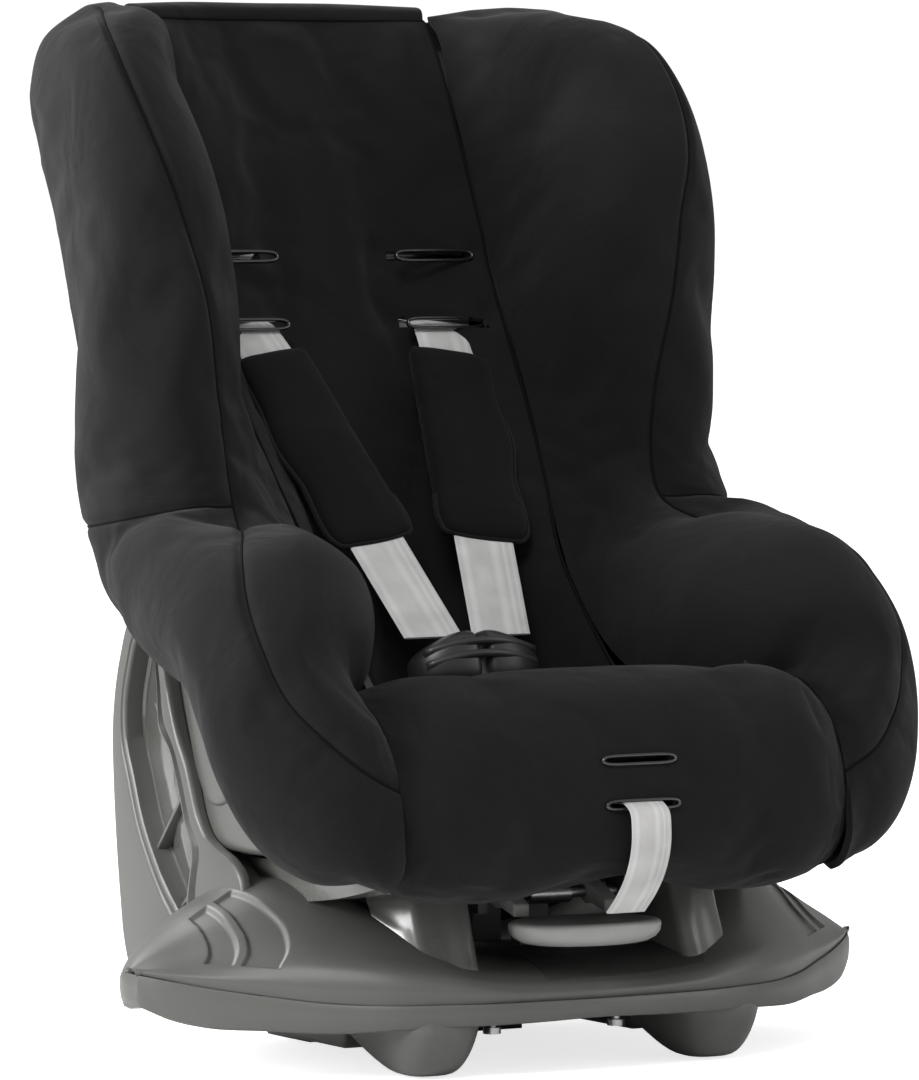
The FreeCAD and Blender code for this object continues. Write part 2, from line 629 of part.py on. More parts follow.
def side_padding():
    """The wing and arm on one side: a rounded upright wall that swells at the arm."""
    wires = []
    for height, inner, outer, front, rear in SIDE:
        corners = [(inner, front, height), (outer, front, height), (outer, rear, height),
                   (inner, rear, height)]
        radius = 0.4 * min(outer - inner, rear - front)
        wires.append(Part.Wire([edge.toShape() for edge in rounded(corners, radius)]))
    return loft(wires, ruled=True)


side_cover = side_padding().cut(TUB_SOLID)
side_right = node("cover_side_right", feature("cover_side_right", side_cover))
mirror("cover_side_left", side_right)

# height, seam y, seam x, front x, front y, outer x, outer rear y
WING = [
    (170, -2, 98, 112, -140, 119, 12), (210, 10, 98, 112, -130, 119, 36),
    (260, 26, 97, 114, -100, 119, 56), (300, 44, 96.5, 118, -54, 123, 70),
    (350, 64, 96.5, 133, 36, 151, 84), (444, 121, 96.5, 152, 36, 172, 98),
    (520, 157, 96.5, 163, 54, 170, 130), (582, 184, 95.5, 114, 140, 118, 166),
]


def wing_padding():
    """Padding inside the tub's wall, from the back panel's seam to the wing's edge."""
    wires = []
    for height, seam_y, seam_x, front_x, front_y, outer_x, rear_y in WING:
        level = tub_level(height)
        drop = (level[4] - level[3]) * (seam_x / level[1]) ** 2
        back_y = level[4] - dim("shell_wall") - drop - 3
        wires.append(polygon([(seam_x, seam_y, height), (front_x, front_y, height),
                              (outer_x, front_y, height), (outer_x, rear_y, height),
                              (seam_x, back_y, height)]))
    return loft(wires, ruled=True)


wing_right = node("cover_wing_right", feature("cover_wing_right", wing_padding().cut(LAP_WAYS + [side_cover])))
mirror("cover_wing_left", wing_right)

# height, y at the seam, y in the middle of the back panel's face
INSERT = [(164, -4, 6), (200, 10, 26), (250, 34, 62), (300, 60, 90), (350, 84, 110),
          (406, 116, 134), (444, 130, 147), (520, 160, 178), (582, 184, 209)]


def back_insert():
    """Padded back panel: a hollow face, bowed like the shell behind it."""
    half, wall = dim("insert_half"), dim("shell_wall")
    wires = []
    for height, seam_y, middle_y in INSERT:
        level = tub_level(height)
        rear_mid = level[4] - wall - 1
        rear_side = rear_mid - (level[4] - level[3]) * (half / level[1]) ** 2 - 1
        front = Part.Arc(Vector(-half, seam_y, height), Vector(0, middle_y, height),
                         Vector(half, seam_y, height)).toShape()
        rear = Part.Arc(Vector(half, rear_side, height), Vector(0, rear_mid, height),
                        Vector(-half, rear_side, height)).toShape()
        wires.append(Part.Wire([
            front, Part.makeLine(Vector(half, seam_y, height), Vector(half, rear_side, height)),
            rear, Part.makeLine(Vector(-half, rear_side, height),
                                Vector(-half, seam_y, height))]))
    return loft(wires, ruled=True)


def trim(x, y, height, lean, wide=56, high=13):
    """A moulded frame round a slot, standing proud of the cloth."""
    ring = Part.makeBox(wide, 5, high, Vector(-wide / 2, -2.5, -high / 2)).cut(
        Part.makeBox(wide - 7, 9, high - 6, Vector((7 - wide) / 2, -4.5, (6 - high) / 2)))
    ring.rotate(Vector(), AXIS_X, lean)
    return ring.translate(Vector(x, y, height))


BACK_TRIMS = [trim(side * dim("slot_x"), y, height, -20) for side in (-1, 1)
              for y, height in ((118, dim("slot_low_z")), (133, dim("slot_low_z")
                                                           + dim("slot_step")))]
trim_rooms = [Part.makeBox(57, 30, 14, Vector(side * dim("slot_x") - 28.5, y - 22, height - 7))
              for side in (-1, 1)
              for y, height in ((118, dim("slot_low_z")), (133, dim("slot_low_z")
                                                           + dim("slot_step")))]
insert_shape = back_insert().cut(trim_rooms + strap_slots(90, 240) + LAP_WAYS)
node("cover_back_panel", feature("cover_back_panel", insert_shape))
web_ways = both_sides(beam(STRAP_TOP - STRAP_RUN * 3, STRAP_TOP + STRAP_RUN * 20,
                           WEB + dim("way_gap"), THIN + 1.5 * dim("way_gap")))
group("back_slot_trims", [item.cut([insert_shape] + web_ways) for item in BACK_TRIMS])

TOP_OUTLINE = [(186, 583.5), (238, 584.5), (234, 593), (206, 593.5), (188, 589)]
node("cover_top_band", pad("top_band", "YZ_Plane", TOP_OUTLINE, 3, "0 - insert_half + 1",
                           "2 * insert_half - 2"))

CUSHION_OUTLINE = [(-147, 118.3), (-26, 118.3), (-12, 128), (0, 150), (-10, 156), (-60, 160), (-110, 182),
                   (-147, 194)]
cushion_block = pad("cushion_block", "YZ_Plane", CUSHION_OUTLINE, 8, "0 - 86", "172")
mechanism_room = box("mechanism_room", ("36", "28", "40"), ("0 - 18", "0 - 74", "118"))
buckle_room = box("buckle_room", ("62", "46", "60"), ("0 - 31", "0 - 60", "138.5"))
strap_room = box("strap_room", ("42", "10", "60"), ("0 - 21", "0 - 45", "118"))
node("seat_cushion", cut("cushion_cut", cushion_block, [mechanism_room, buckle_room, strap_room]))

FRONT_OUTLINE = [(-190.6, 200.4), (-122, 200.4), (-124, 209), (-146, 219), (-172, 219),
                 (-196, 204), (-209, 176), (-216, 140), (-211, 112), (-196, 99), (-186, 101),
                 (-190.6, 112)]
front_block = pad("front_block", "YZ_Plane", FRONT_OUTLINE, 5, "0 - panel_half", "2 * panel_half")
front_ways = [box(f"front_way{i}", (str(w), "40", str(h)), (f"0 - {w / 2}", "0 - 226", str(z)))
              for i, (w, h, z) in enumerate(((42, 6, 148), (42, 6, 172)))]
tub_tool = feature("tub_tool", TUB_SOLID)
FRONT_TRIMS = [trim(0, -214.6, 151, -9, 50, 11), trim(0, -209.6, 175, -20, 50, 10)]
doc.recompute()
front_tools = [feature(f"front_tool{i}", shape) for i, shape in enumerate(
    FRONT_TRIMS + [NODES[f"shell_side_panel_{side}"].Shape for side in ("left", "right")])]
node("cover_front_panel", cut("front_cut", front_block, front_ways + [tub_tool] + front_tools))
group("front_slot_trims", FRONT_TRIMS)

# ---------------------------------------------------------------- belt clamps and screws
clamp_eye = cylinder_x("clamp_eye", "8", "12", ("side_panel_in + 2", "98", "226"))
clamp_bar = box("clamp_bar", ("12", "9", "34"), ("side_panel_in + 2", "94", "190"))
clamp_bore = cylinder_x("clamp_bore", "pin_radius + pin_gap", "30", ("side_panel_in", "98", "226"))
clamp = node("belt_clamp_right", cut("clamp_cut", fuse("clamp_solid", [clamp_eye, clamp_bar]),
                                     [clamp_bore]))
mirror("belt_clamp_left", clamp)
clamp_pin = node("clamp_pin_right", cylinder_x("clamp_pin", "pin_radius", "14.1",
                                               ("side_panel_in + 1.4", "98", "226")))
mirror("clamp_pin_left", clamp_pin)

group("base_screws", [
    Part.makeCylinder(dim("screw_radius"), 24, Vector(x, y, 22)).fuse(
        Part.makeCylinder(dim("screw_head"), 3.5, Vector(x, y, 19)))
    for x, y in SCREW_PLACES])

# ---------------------------------------------------------------- check and write
doc.recompute()
for item in doc.Objects:
    if {"Invalid", "Error"} & set(item.State):
        raise RuntimeError(f"{item.Label} failed: {item.State}")
for label, item in NODES.items():
    if item.Shape.isNull() or not item.Shape.isValid() or not item.Shape.Solids:
        raise RuntimeError(f"{label} has no valid solid")
os.makedirs("parts", exist_ok=True)
for label, item in NODES.items():
    item.Shape.exportStep(f"parts/{label}.step")
bounds = FreeCAD.BoundBox()
for item in NODES.values():
    bounds.add(item.Shape.BoundBox)
print(len(NODES), "nodes", bounds)
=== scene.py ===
"""Toddler car seat with a five-point harness on a fixed reclining base."""
import logging
import math
from contextlib import contextmanager
from dataclasses import dataclass, field
from enum import Enum
from typing import Iterator, Sequence

import bmesh
import bpy
from mathutils import Matrix, Vector
from mathutils.kdtree import KDTree


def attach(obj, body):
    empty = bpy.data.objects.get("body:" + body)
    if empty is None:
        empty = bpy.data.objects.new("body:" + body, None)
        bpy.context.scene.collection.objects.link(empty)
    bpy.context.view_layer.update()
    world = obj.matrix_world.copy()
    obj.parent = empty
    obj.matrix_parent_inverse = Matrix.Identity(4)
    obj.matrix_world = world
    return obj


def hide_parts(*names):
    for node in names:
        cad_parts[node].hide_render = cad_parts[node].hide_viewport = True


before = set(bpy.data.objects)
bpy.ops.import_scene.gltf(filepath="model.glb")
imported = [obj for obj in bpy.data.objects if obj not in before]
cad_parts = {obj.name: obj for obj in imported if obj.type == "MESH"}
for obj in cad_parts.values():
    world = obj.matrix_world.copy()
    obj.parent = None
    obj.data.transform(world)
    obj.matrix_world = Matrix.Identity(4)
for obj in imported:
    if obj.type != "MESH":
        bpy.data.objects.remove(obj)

LOG = logging.getLogger("car_seat")
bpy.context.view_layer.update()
MM = 0.001
TURN = 6.2832  # one turn of a thread's wave, in radians
Point = tuple[float, float, float]
Flat = tuple[float, float]
Piece = bpy.types.Object
Finish = bpy.types.Material
Tree = bpy.types.NodeTree
Socket = bpy.types.NodeSocket


class Side(Enum):
    """The seat's two sides, as the sign of X."""

    LEFT = -1
    RIGHT = 1

    @property
    def word(self) -> str:
        """The side's name in piece names."""
        return self.name.lower()


# ------------------------------------------------------------------ workshop
def deselect() -> None:
    """Leaves nothing selected, because an operator acts on all that is."""
    for item in list(bpy.context.selected_objects):
        item.select_set(False)
    bpy.context.view_layer.objects.active = None


def activate(piece: Piece) -> None:
    """Makes one piece the only selected and active one."""
    deselect()
    piece.select_set(True)
    bpy.context.view_layer.objects.active = piece


def vec(point: Sequence[float], side: int = 1) -> Vector:
    """A point given in millimetres, mirrored where side is -1."""
    return Vector((point[0] * side * MM, point[1] * MM, point[2] * MM))


def spline(points: Sequence[Vector], per_span: int) -> list[Vector]:
    """A smooth line through points, spaced by chord length.

    Args:
        points: what the line goes through.
        per_span: how many steps each span takes.

    Returns:
        The points of the line, ends included.
    """
    spans = [max((b - a).length, 1e-6) for a, b in zip(points, points[1:])]
    slopes = []
    for i in range(len(points)):
        if i == 0:
            slopes.append((points[1] - points[0]) / spans[0])
        elif i == len(points) - 1:
            slopes.append((points[-1] - points[-2]) / spans[-1])
        else:
            before, after = spans[i - 1], spans[i]
            slopes.append(((points[i] - points[i - 1]) / before * after
                           + (points[i + 1] - points[i]) / after * before) / (before + after))
    line = []
    for i, span in enumerate(spans):
        a, b = points[i], points[i + 1]
        va, vb = slopes[i] * span, slopes[i + 1] * span
        for step in range(per_span):
            t = step / per_span
            line.append(a * (2 * t**3 - 3 * t**2 + 1) + va * (t**3 - 2 * t**2 + t)
                        + b * (3 * t**2 - 2 * t**3) + vb * (t**3 - t**2))
    return line + [points[-1].copy()]


def reaches(line: Sequence[Vector]) -> list[float]:
    """How far along a line each of its points is."""
    reach = [0.0]
    for a, b in zip(line, line[1:]):
        reach.append(reach[-1] + (b - a).length)
    return reach


def spread(line: Sequence[Vector], count: int) -> list[Vector]:
    """Points at even distances along a line.

    Args:
        line: the line's own points.
        count: how many points come back.

    Returns:
        The evenly spaced points.
    """
    reach, out, i = reaches(line), [], 0
    for step in range(count):
        target = reach[-1] * step / (count - 1)
        while i < len(line) - 2 and reach[i + 1] < target:
            i += 1
        gap = max(reach[i + 1] - reach[i], 1e-9)
        out.append(line[i].lerp(line[i + 1], (target - reach[i]) / gap))
    return out


def net(control: Sequence[Sequence[Vector]], rows_per: int, cols_per: int) -> list[list[Vector]]:
    """A fine net of points through a coarse one.

    Args:
        control: rows of control points.
        rows_per: steps between two rows.
        cols_per: steps between two columns.

    Returns:
        The fine rows.
    """
    fine = [spline(row, cols_per) for row in control]
    columns = [spline([row[i] for row in fine], rows_per) for i in range(len(fine[0]))]
    return [[column[i] for column in columns] for i in range(len(columns[0]))]


def closed(points: Sequence[Vector], per_span: int) -> list[Vector]:
    """A smooth line that ends one step short of where it starts."""
    return spline(list(points) + list(points[:1]), per_span)[:-1]


def oval(count: int, power_x: float, power_y: float) -> list[Flat]:
    """Points round a unit oval that is the squarer the smaller its powers."""
    turns = [(math.cos(a), math.sin(a)) for a in (math.tau * k / count for k in range(count))]
    return [(math.copysign(abs(c) ** power_x, c), math.copysign(abs(s) ** power_y, s))
            for c, s in turns]


def heading(line: Sequence[Vector], i: int) -> Vector:
    """Which way a line runs at one of its points."""
    return line[min(i + 1, len(line) - 1)] - line[max(i - 1, 0)]


def round_ring(centre: Vector, across: Vector, up: Vector, radius: float, count: int
               ) -> list[Vector]:
    """A ring of points round a cord's middle; radius is in millimetres."""
    return [centre + (across * math.cos(a) + up * math.sin(a)) * radius * MM
            for a in (math.tau * k / count for k in range(count))]


def finder(points: Sequence[Vector]) -> KDTree:
    """A search tree over points."""
    tree = KDTree(len(points))
    for i, point in enumerate(points):
        tree.insert(point, i)
    tree.balance()
    return tree


def newest(name: str) -> Piece:
    """Names the piece that was just added."""
    piece = bpy.context.object
    piece.name = piece.data.name = name
    return piece


@contextmanager
def edit_mode(piece: Piece) -> Iterator[bmesh.types.BMesh]:
    """Opens a piece's mesh for editing, and closes it again."""
    activate(piece)
    bpy.ops.object.mode_set(mode="EDIT")
    mesh = bmesh.from_edit_mesh(piece.data)
    mesh.verts.ensure_lookup_table()
    yield mesh
    bpy.ops.object.mode_set(mode="OBJECT")


def border(width: int, height: int) -> set[int]:
    """The corners all round a sheet."""
    return {row * width + i for row in range(height) for i in range(width)
            if row in (0, height - 1) or i in (0, width - 1)}


def corners_at(piece: Piece, numbers: Sequence[int]) -> list[Vector]:
    """Where some of a piece's corners are."""
    return [piece.data.vertices[n].co.copy() for n in numbers]


def turn_faces_out() -> None:
    """Turns every face of the mesh being edited outwards."""
    bpy.ops.mesh.select_all(action="SELECT")
    bpy.ops.mesh.normals_make_consistent(inside=False)


def sheet_of(name: str, rows: Sequence[Sequence[Vector]]) -> Piece:
    """Adds a grid and draws each row of its corners onto its line.

    Args:
        name: the piece's name.
        rows: where the corners go.

    Returns:
        The new piece, with corner i of row j at index j * len(row) + i.
    """
    deselect()
    count_x, count_y = len(rows[0]), len(rows)
    bpy.ops.mesh.primitive_grid_add(x_subdivisions=count_x - 1, y_subdivisions=count_y - 1,
                                    size=0.2)
    piece = newest(name)
    for corner in piece.data.vertices:
        corner.co = rows[corner.index // count_x][corner.index % count_x]
    return piece


def tube_of(name: str, rings: Sequence[Sequence[Vector]], capped: bool = True) -> Piece:
    """Adds a circle, extrudes it ring by ring and draws each ring to its place.

    Args:
        name: the piece's name.
        rings: the rings, all with as many points.
        capped: whether the two ends are faced.

    Returns:
        The new piece.
    """
    deselect()
    bpy.ops.mesh.primitive_circle_add(vertices=len(rings[0]), radius=0.05,
                                      fill_type="NGON" if capped else "NOTHING")
    piece = newest(name)
    with edit_mode(piece) as mesh:
        ring = list(mesh.verts)
        for corner, place in zip(ring, rings[0]):
            corner.co = place
        if capped:
            for face in mesh.faces:
                face.select = False
        for places in rings[1:]:
            held = set(ring)
            edges = [e for e in mesh.edges if all(v in held for v in e.verts)]
            made = bmesh.ops.extrude_edge_only(mesh, edges=edges)
            partner = {}
            for corner in made["geom"]:
                if isinstance(corner, bmesh.types.BMVert):
                    for edge in corner.link_edges:
                        other = edge.other_vert(corner)
                        if other in held:
                            partner[other] = corner
            ring = [partner[v] for v in ring]
            for corner, place in zip(ring, places):
                corner.co = place
        if capped:
            mesh.faces.new(ring)
        bmesh.update_edit_mesh(piece.data)
        turn_faces_out()
    return piece


def slab(name: str, outline: Sequence[Vector], depth: Vector) -> Piece:
    """A flat outline filled and extruded along depth.

    Args:
        name: the piece's name.
        outline: the corners, in order.
        depth: how far and which way it is drawn out.

    Returns:
        The new piece.
    """
    deselect()
    bpy.ops.mesh.primitive_circle_add(vertices=len(outline), radius=0.05, fill_type="NGON")
    piece = newest(name)
    for corner, place in zip(piece.data.vertices, outline):
        corner.co = place
    with edit_mode(piece):
        bpy.ops.mesh.select_all(action="SELECT")
        bpy.ops.mesh.extrude_region_move(TRANSFORM_OT_translate={"value": depth})
        turn_faces_out()
    return piece


def apply_modifier(piece: Piece, kind: str, **settings: object) -> None:
    """Adds one modifier with its settings and applies it."""
    activate(piece)
    modifier = piece.modifiers.new(kind.lower(), kind)
    for key, value in settings.items():
        setattr(modifier, key, value)
    bpy.ops.object.modifier_apply(modifier=modifier.name)


def round_edges(piece: Piece, width: float, segments: int = 3, angle: float = 30.0) -> None:
    """Rounds a piece's sharp edges by width in millimetres."""
    apply_modifier(piece, "BEVEL", width=width * MM, segments=segments, limit_method="ANGLE",
                   angle_limit=math.radians(angle), harden_normals=False)


def smooth(piece: Piece, angle: float = 35.0) -> None:
    """Shades a piece smooth, save over its sharp edges."""
    activate(piece)
    bpy.ops.object.shade_smooth_by_angle(angle=math.radians(angle))


def outward(piece: Piece) -> None:
    """Turns every face of a closed piece outwards."""
    with edit_mode(piece):
        turn_faces_out()


def joined(pieces: Sequence[Piece], name: str) -> Piece:
    """Turns closed pieces outwards and joins them into the first one."""
    for piece in pieces:
        outward(piece)
    deselect()
    for piece in pieces:
        piece.select_set(True)
    bpy.context.view_layer.objects.active = pieces[0]
    bpy.ops.object.join()
    pieces[0].name = pieces[0].data.name = name
    return pieces[0]


def finish_piece(piece: Piece, finish: bpy.types.Material, body: str,
                 replaced: Sequence[str] = ()) -> Piece:
    """Dresses a new piece, puts it on its body and reports it.

    Args:
        piece: the modelled piece.
        finish: its material.
        body: the moving body it rides on.
        replaced: the plain nodes that it stands for.

    Returns:
        The same piece.
    """
    piece.data.materials.clear()
    piece.data.materials.append(finish)
    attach(piece, body)
    if replaced:
        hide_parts(*replaced)
    LOG.info("%s: %d faces on %s", piece.name, len(piece.data.polygons), body)
    return piece


# ------------------------------------------------------------------ finishes
def feed(tree: Tree, socket: Socket, value: object) -> None:
    """Links a socket to an input, or sets the input to a value."""
    if isinstance(value, bpy.types.NodeSocket):
        tree.links.new(value, socket)
    else:
        socket.default_value = value


def set_inputs(tree: Tree, node: bpy.types.Node, inputs: dict[object, object]) -> None:
    """Feeds each of a node's inputs that is named or numbered."""
    for key, value in inputs.items():
        feed(tree, node.inputs[key], value)


def add_node(tree: Tree, kind: str, inputs: dict[object, object] | None = None,
             **settings: object) -> bpy.types.Node:
    """Adds one shader node.

    Args:
        tree: where it goes.
        kind: its type, without the ShaderNode in front.
        inputs: what each input is fed, by name or number.
        settings: the node's own settings.

    Returns:
        The node.
    """
    node = tree.nodes.new("ShaderNode" + kind)
    for key, value in settings.items():
        setattr(node, key, value)
    set_inputs(tree, node, inputs or {})
    return node


def socket_group(name: str, inputs: dict[str, float], outputs: Sequence[str]) -> Tree:
    """Starts a shader group with named inputs and outputs.

    Args:
        name: the group's name.
        inputs: each number that it takes, with its usual value.
        outputs: the name of each value that it gives.

    Returns:
        The group's tree, with a Group Input and a Group Output.
    """
    tree = bpy.data.node_groups.new(name, "ShaderNodeTree")
    for label, value in inputs.items():
        tree.interface.new_socket(name=label, in_out="INPUT",
                                  socket_type="NodeSocketFloat").default_value = value
    for label in outputs:
        tree.interface.new_socket(name=label, in_out="OUTPUT", socket_type="NodeSocketFloat")
    tree.nodes.new("NodeGroupInput")
    tree.nodes.new("NodeGroupOutput")
    return tree


def link_math(tree: Tree, operation: str, first: object, second: object) -> Socket:
    """Adds a Math node fed by sockets or numbers and returns its result."""
    return add_node(tree, "Math", {0: first, 1: second}, operation=operation).outputs[0]


def wave(tree: Tree, value: Socket, per_unit: float) -> Socket:
    """The sine of a value times a rate in radians."""
    return link_math(tree, "SINE", link_math(tree, "MULTIPLY", value, per_unit), 0.0)


def own_place(tree: Tree) -> Socket:
    """Where the surface is, in Object coordinates."""
    return add_node(tree, "TexCoord").outputs["Object"]


def noise(tree: Tree, place: Socket, **inputs: object) -> Socket:
    """A noise texture's value at a place."""
    return add_node(tree, "TexNoise", {"Vector": place, **inputs}).outputs[0]


def build_weave() -> Tree:
    """Crossed threads with loose fibres, read from Object coordinates."""
    tree = socket_group("fabric_weave", {"Thread Size": 1.0, "Fibre": 0.4}, ("Height", "Shade"))
    start, end = tree.nodes["Group Input"], tree.nodes["Group Output"]
    scale = link_math(tree, "DIVIDE", 1000.0, start.outputs["Thread Size"])
    spot = add_node(tree, "VectorMath", {0: own_place(tree), "Scale": scale},
                    operation="SCALE").outputs[0]
    apart = add_node(tree, "SeparateXYZ", {0: spot})
    across = link_math(tree, "ADD", apart.outputs["X"],
                       link_math(tree, "MULTIPLY", apart.outputs["Y"], 0.8))
    cross = link_math(tree, "MULTIPLY", wave(tree, across, TURN),
                      wave(tree, apart.outputs["Z"], TURN))
    loose = link_math(tree, "MULTIPLY", noise(tree, spot, Scale=1.3, Detail=6.0),
                      start.outputs["Fibre"])
    height = link_math(tree, "ADD", link_math(tree, "MULTIPLY", cross, 0.35), loose)
    cloudy = link_math(tree, "MULTIPLY", noise(tree, spot, Scale=0.035, Detail=3.0), 0.55)
    shade = link_math(tree, "ADD", link_math(tree, "MULTIPLY", height, 0.5), cloudy)
    set_inputs(tree, end, {"Height": height, "Shade": shade})
    return tree


def build_grain() -> Tree:
    """The fine texture of moulded plastic, with dust and handling marks, and a painted highlight
    along convex edges.
    """
    tree = socket_group("moulded_grain", {"Grain Size": 0.8, "Marks": 0.3},
                        ("Height", "Marks", "Edge"))
    start, end = tree.nodes["Group Input"], tree.nodes["Group Output"]
    where = own_place(tree)
    fine = link_math(tree, "DIVIDE", 1000.0, start.outputs["Grain Size"])
    marks = noise(tree, where, Scale=22.0, Detail=7.0, Roughness=0.65)
    soft = add_node(tree, "MapRange", {"From Min": 0.35, "From Max": 0.75, "Value": marks})
    shape = add_node(tree, "NewGeometry").outputs["Pointiness"]
    # Edge: convex edges found by pointiness, lightened in the colour as a painted edge highlight
    rim = add_node(tree, "MapRange", {"From Min": 0.52, "From Max": 0.62, "Value": shape})
    set_inputs(tree, end, {
        "Height": noise(tree, where, Detail=4.0, Scale=fine),
        "Marks": link_math(tree, "MULTIPLY", soft.outputs[0], start.outputs["Marks"]),
        "Edge": rim.outputs[0]})
    return tree


def new_material(name: str) -> tuple[Finish, bpy.types.Node]:
    """An empty material and its Principled shader."""
    finish = bpy.data.materials.new(name)
    finish.use_nodes = True
    return finish, finish.node_tree.nodes["Principled BSDF"]


def mix_colour(tree: Tree, factor: Socket, low: Point, high: Point) -> Socket:
    """A colour between two, by a value that changes over the surface."""
    ramp = tree.nodes.new("ShaderNodeMix")
    ramp.data_type = "RGBA"
    set_inputs(tree, ramp, {0: factor, 6: (*low, 1.0), 7: (*high, 1.0)})
    return ramp.outputs[2]


def add_bump(tree: Tree, shader: bpy.types.Node, height: Socket, strength: float,
             distance: float) -> bpy.types.Node:
    """Feeds a height to a node's Normal; distance is in millimetres."""
    bump = add_node(tree, "Bump", {"Strength": strength, "Distance": distance * MM,
                                   "Height": height})
    tree.links.new(bump.outputs[0], shader.inputs["Normal"])
    return bump


@dataclass(frozen=True)
class Cloth:
    """A woven finish; ease is how strongly it undulates."""

    name: str
    dark: Point
    light: Point
    thread: float = 1.0
    fibre: float = 0.5
    sheen: float = 0.25
    relief: float = 0.25
    ease: float = 0.4

    def make(self, weave: Tree) -> Finish:
        """Builds the material on the shared weave group."""
        finish, shader = new_material(self.name)
        tree = finish.node_tree
        threads = add_node(tree, "Group", {"Thread Size": self.thread, "Fibre": self.fibre},
                           node_tree=weave)
        set_inputs(tree, shader, {
            "Base Color": mix_colour(tree, threads.outputs["Shade"], self.dark, self.light),
            "Roughness": 0.92, "Specular IOR Level": 0.18,
            "Sheen Weight": self.sheen, "Sheen Roughness": 0.55})
        woven = add_bump(tree, shader, threads.outputs["Height"], 0.55, self.relief)
        folds = noise(tree, own_place(tree), Scale=17.0, Detail=3.0, Roughness=0.45,
                      Distortion=0.7)
        add_bump(tree, woven, folds, self.ease, 11.0)
        return finish


@dataclass(frozen=True)
class Moulded:
    """A moulded plastic, rubber or metal finish."""

    name: str
    dark: Point
    light: Point
    rough: float = 0.42
    grain: float = 0.8
    relief: float = 0.04
    coat: float = 0.0
    metal: float = 0.0
    marks: float = 0.35

    def make(self, grain: Tree) -> Finish:
        """Builds the material on the shared grain group."""
        finish, shader = new_material(self.name)
        tree = finish.node_tree
        skin = add_node(tree, "Group", {"Grain Size": self.grain, "Marks": self.marks},
                        node_tree=grain)
        # real handling marks plus the painted edge highlight, both pushing the colour towards its
        # lighter end
        marks_and_edge_highlight = link_math(tree, "ADD", skin.outputs["Marks"],
                         link_math(tree, "MULTIPLY", skin.outputs["Edge"], 0.6))
        rough = add_node(tree, "MapRange", {
            "To Min": self.rough, "To Max": min(1.0, self.rough + 0.22),
            "Value": skin.outputs["Marks"]})
        set_inputs(tree, shader, {
            "Base Color": mix_colour(tree, marks_and_edge_highlight, self.dark, self.light),
            "Roughness": rough.outputs[0], "Coat Weight": self.coat, "Coat Roughness": 0.12,
            "Metallic": self.metal})
        add_bump(tree, shader, skin.outputs["Height"], 0.35, self.relief)
        return finish


@dataclass(frozen=True)
class Webbing:
    """Woven strap with ribs along it, read from the strap's own map."""

    name: str
    dark: Point
    light: Point
    ribs: float = 11.0
    pick: float = 0.0016
    twill: float = 0.0022

    def make(self) -> Finish:
        """Builds the material; the map's U is across in widths, V along in metres."""
        finish, shader = new_material(self.name)
        tree = finish.node_tree
        where = add_node(tree, "TexCoord")
        apart = add_node(tree, "SeparateXYZ", {0: where.outputs["UV"]})
        across, along = apart.outputs["X"], apart.outputs["Y"]
        rib = wave(tree, across, self.ribs * TURN)
        pick = wave(tree, along, TURN / self.pick)
        twill = link_math(tree, "SINE", link_math(
            tree, "ADD", link_math(tree, "MULTIPLY", across, self.ribs * 12.566),
            link_math(tree, "MULTIPLY", along, TURN / self.twill)), 0.0)
        fine = link_math(tree, "ADD", link_math(tree, "MULTIPLY", pick, 0.16),
                         link_math(tree, "MULTIPLY", twill, 0.2))
        woven = link_math(tree, "ADD", link_math(tree, "MULTIPLY", rib, 0.5), fine)
        cloudy = noise(tree, where.outputs["Object"], Scale=60.0)
        shade = link_math(tree, "ADD", link_math(tree, "MULTIPLY", woven, 0.35),
                          link_math(tree, "MULTIPLY", cloudy, 0.9))
        set_inputs(tree, shader, {
            "Base Color": mix_colour(tree, shade, self.dark, self.light), "Roughness": 0.6,
            "Specular IOR Level": 0.35, "Sheen Weight": 0.15})
        add_bump(tree, shader, woven, 0.6, 0.18)
        return finish


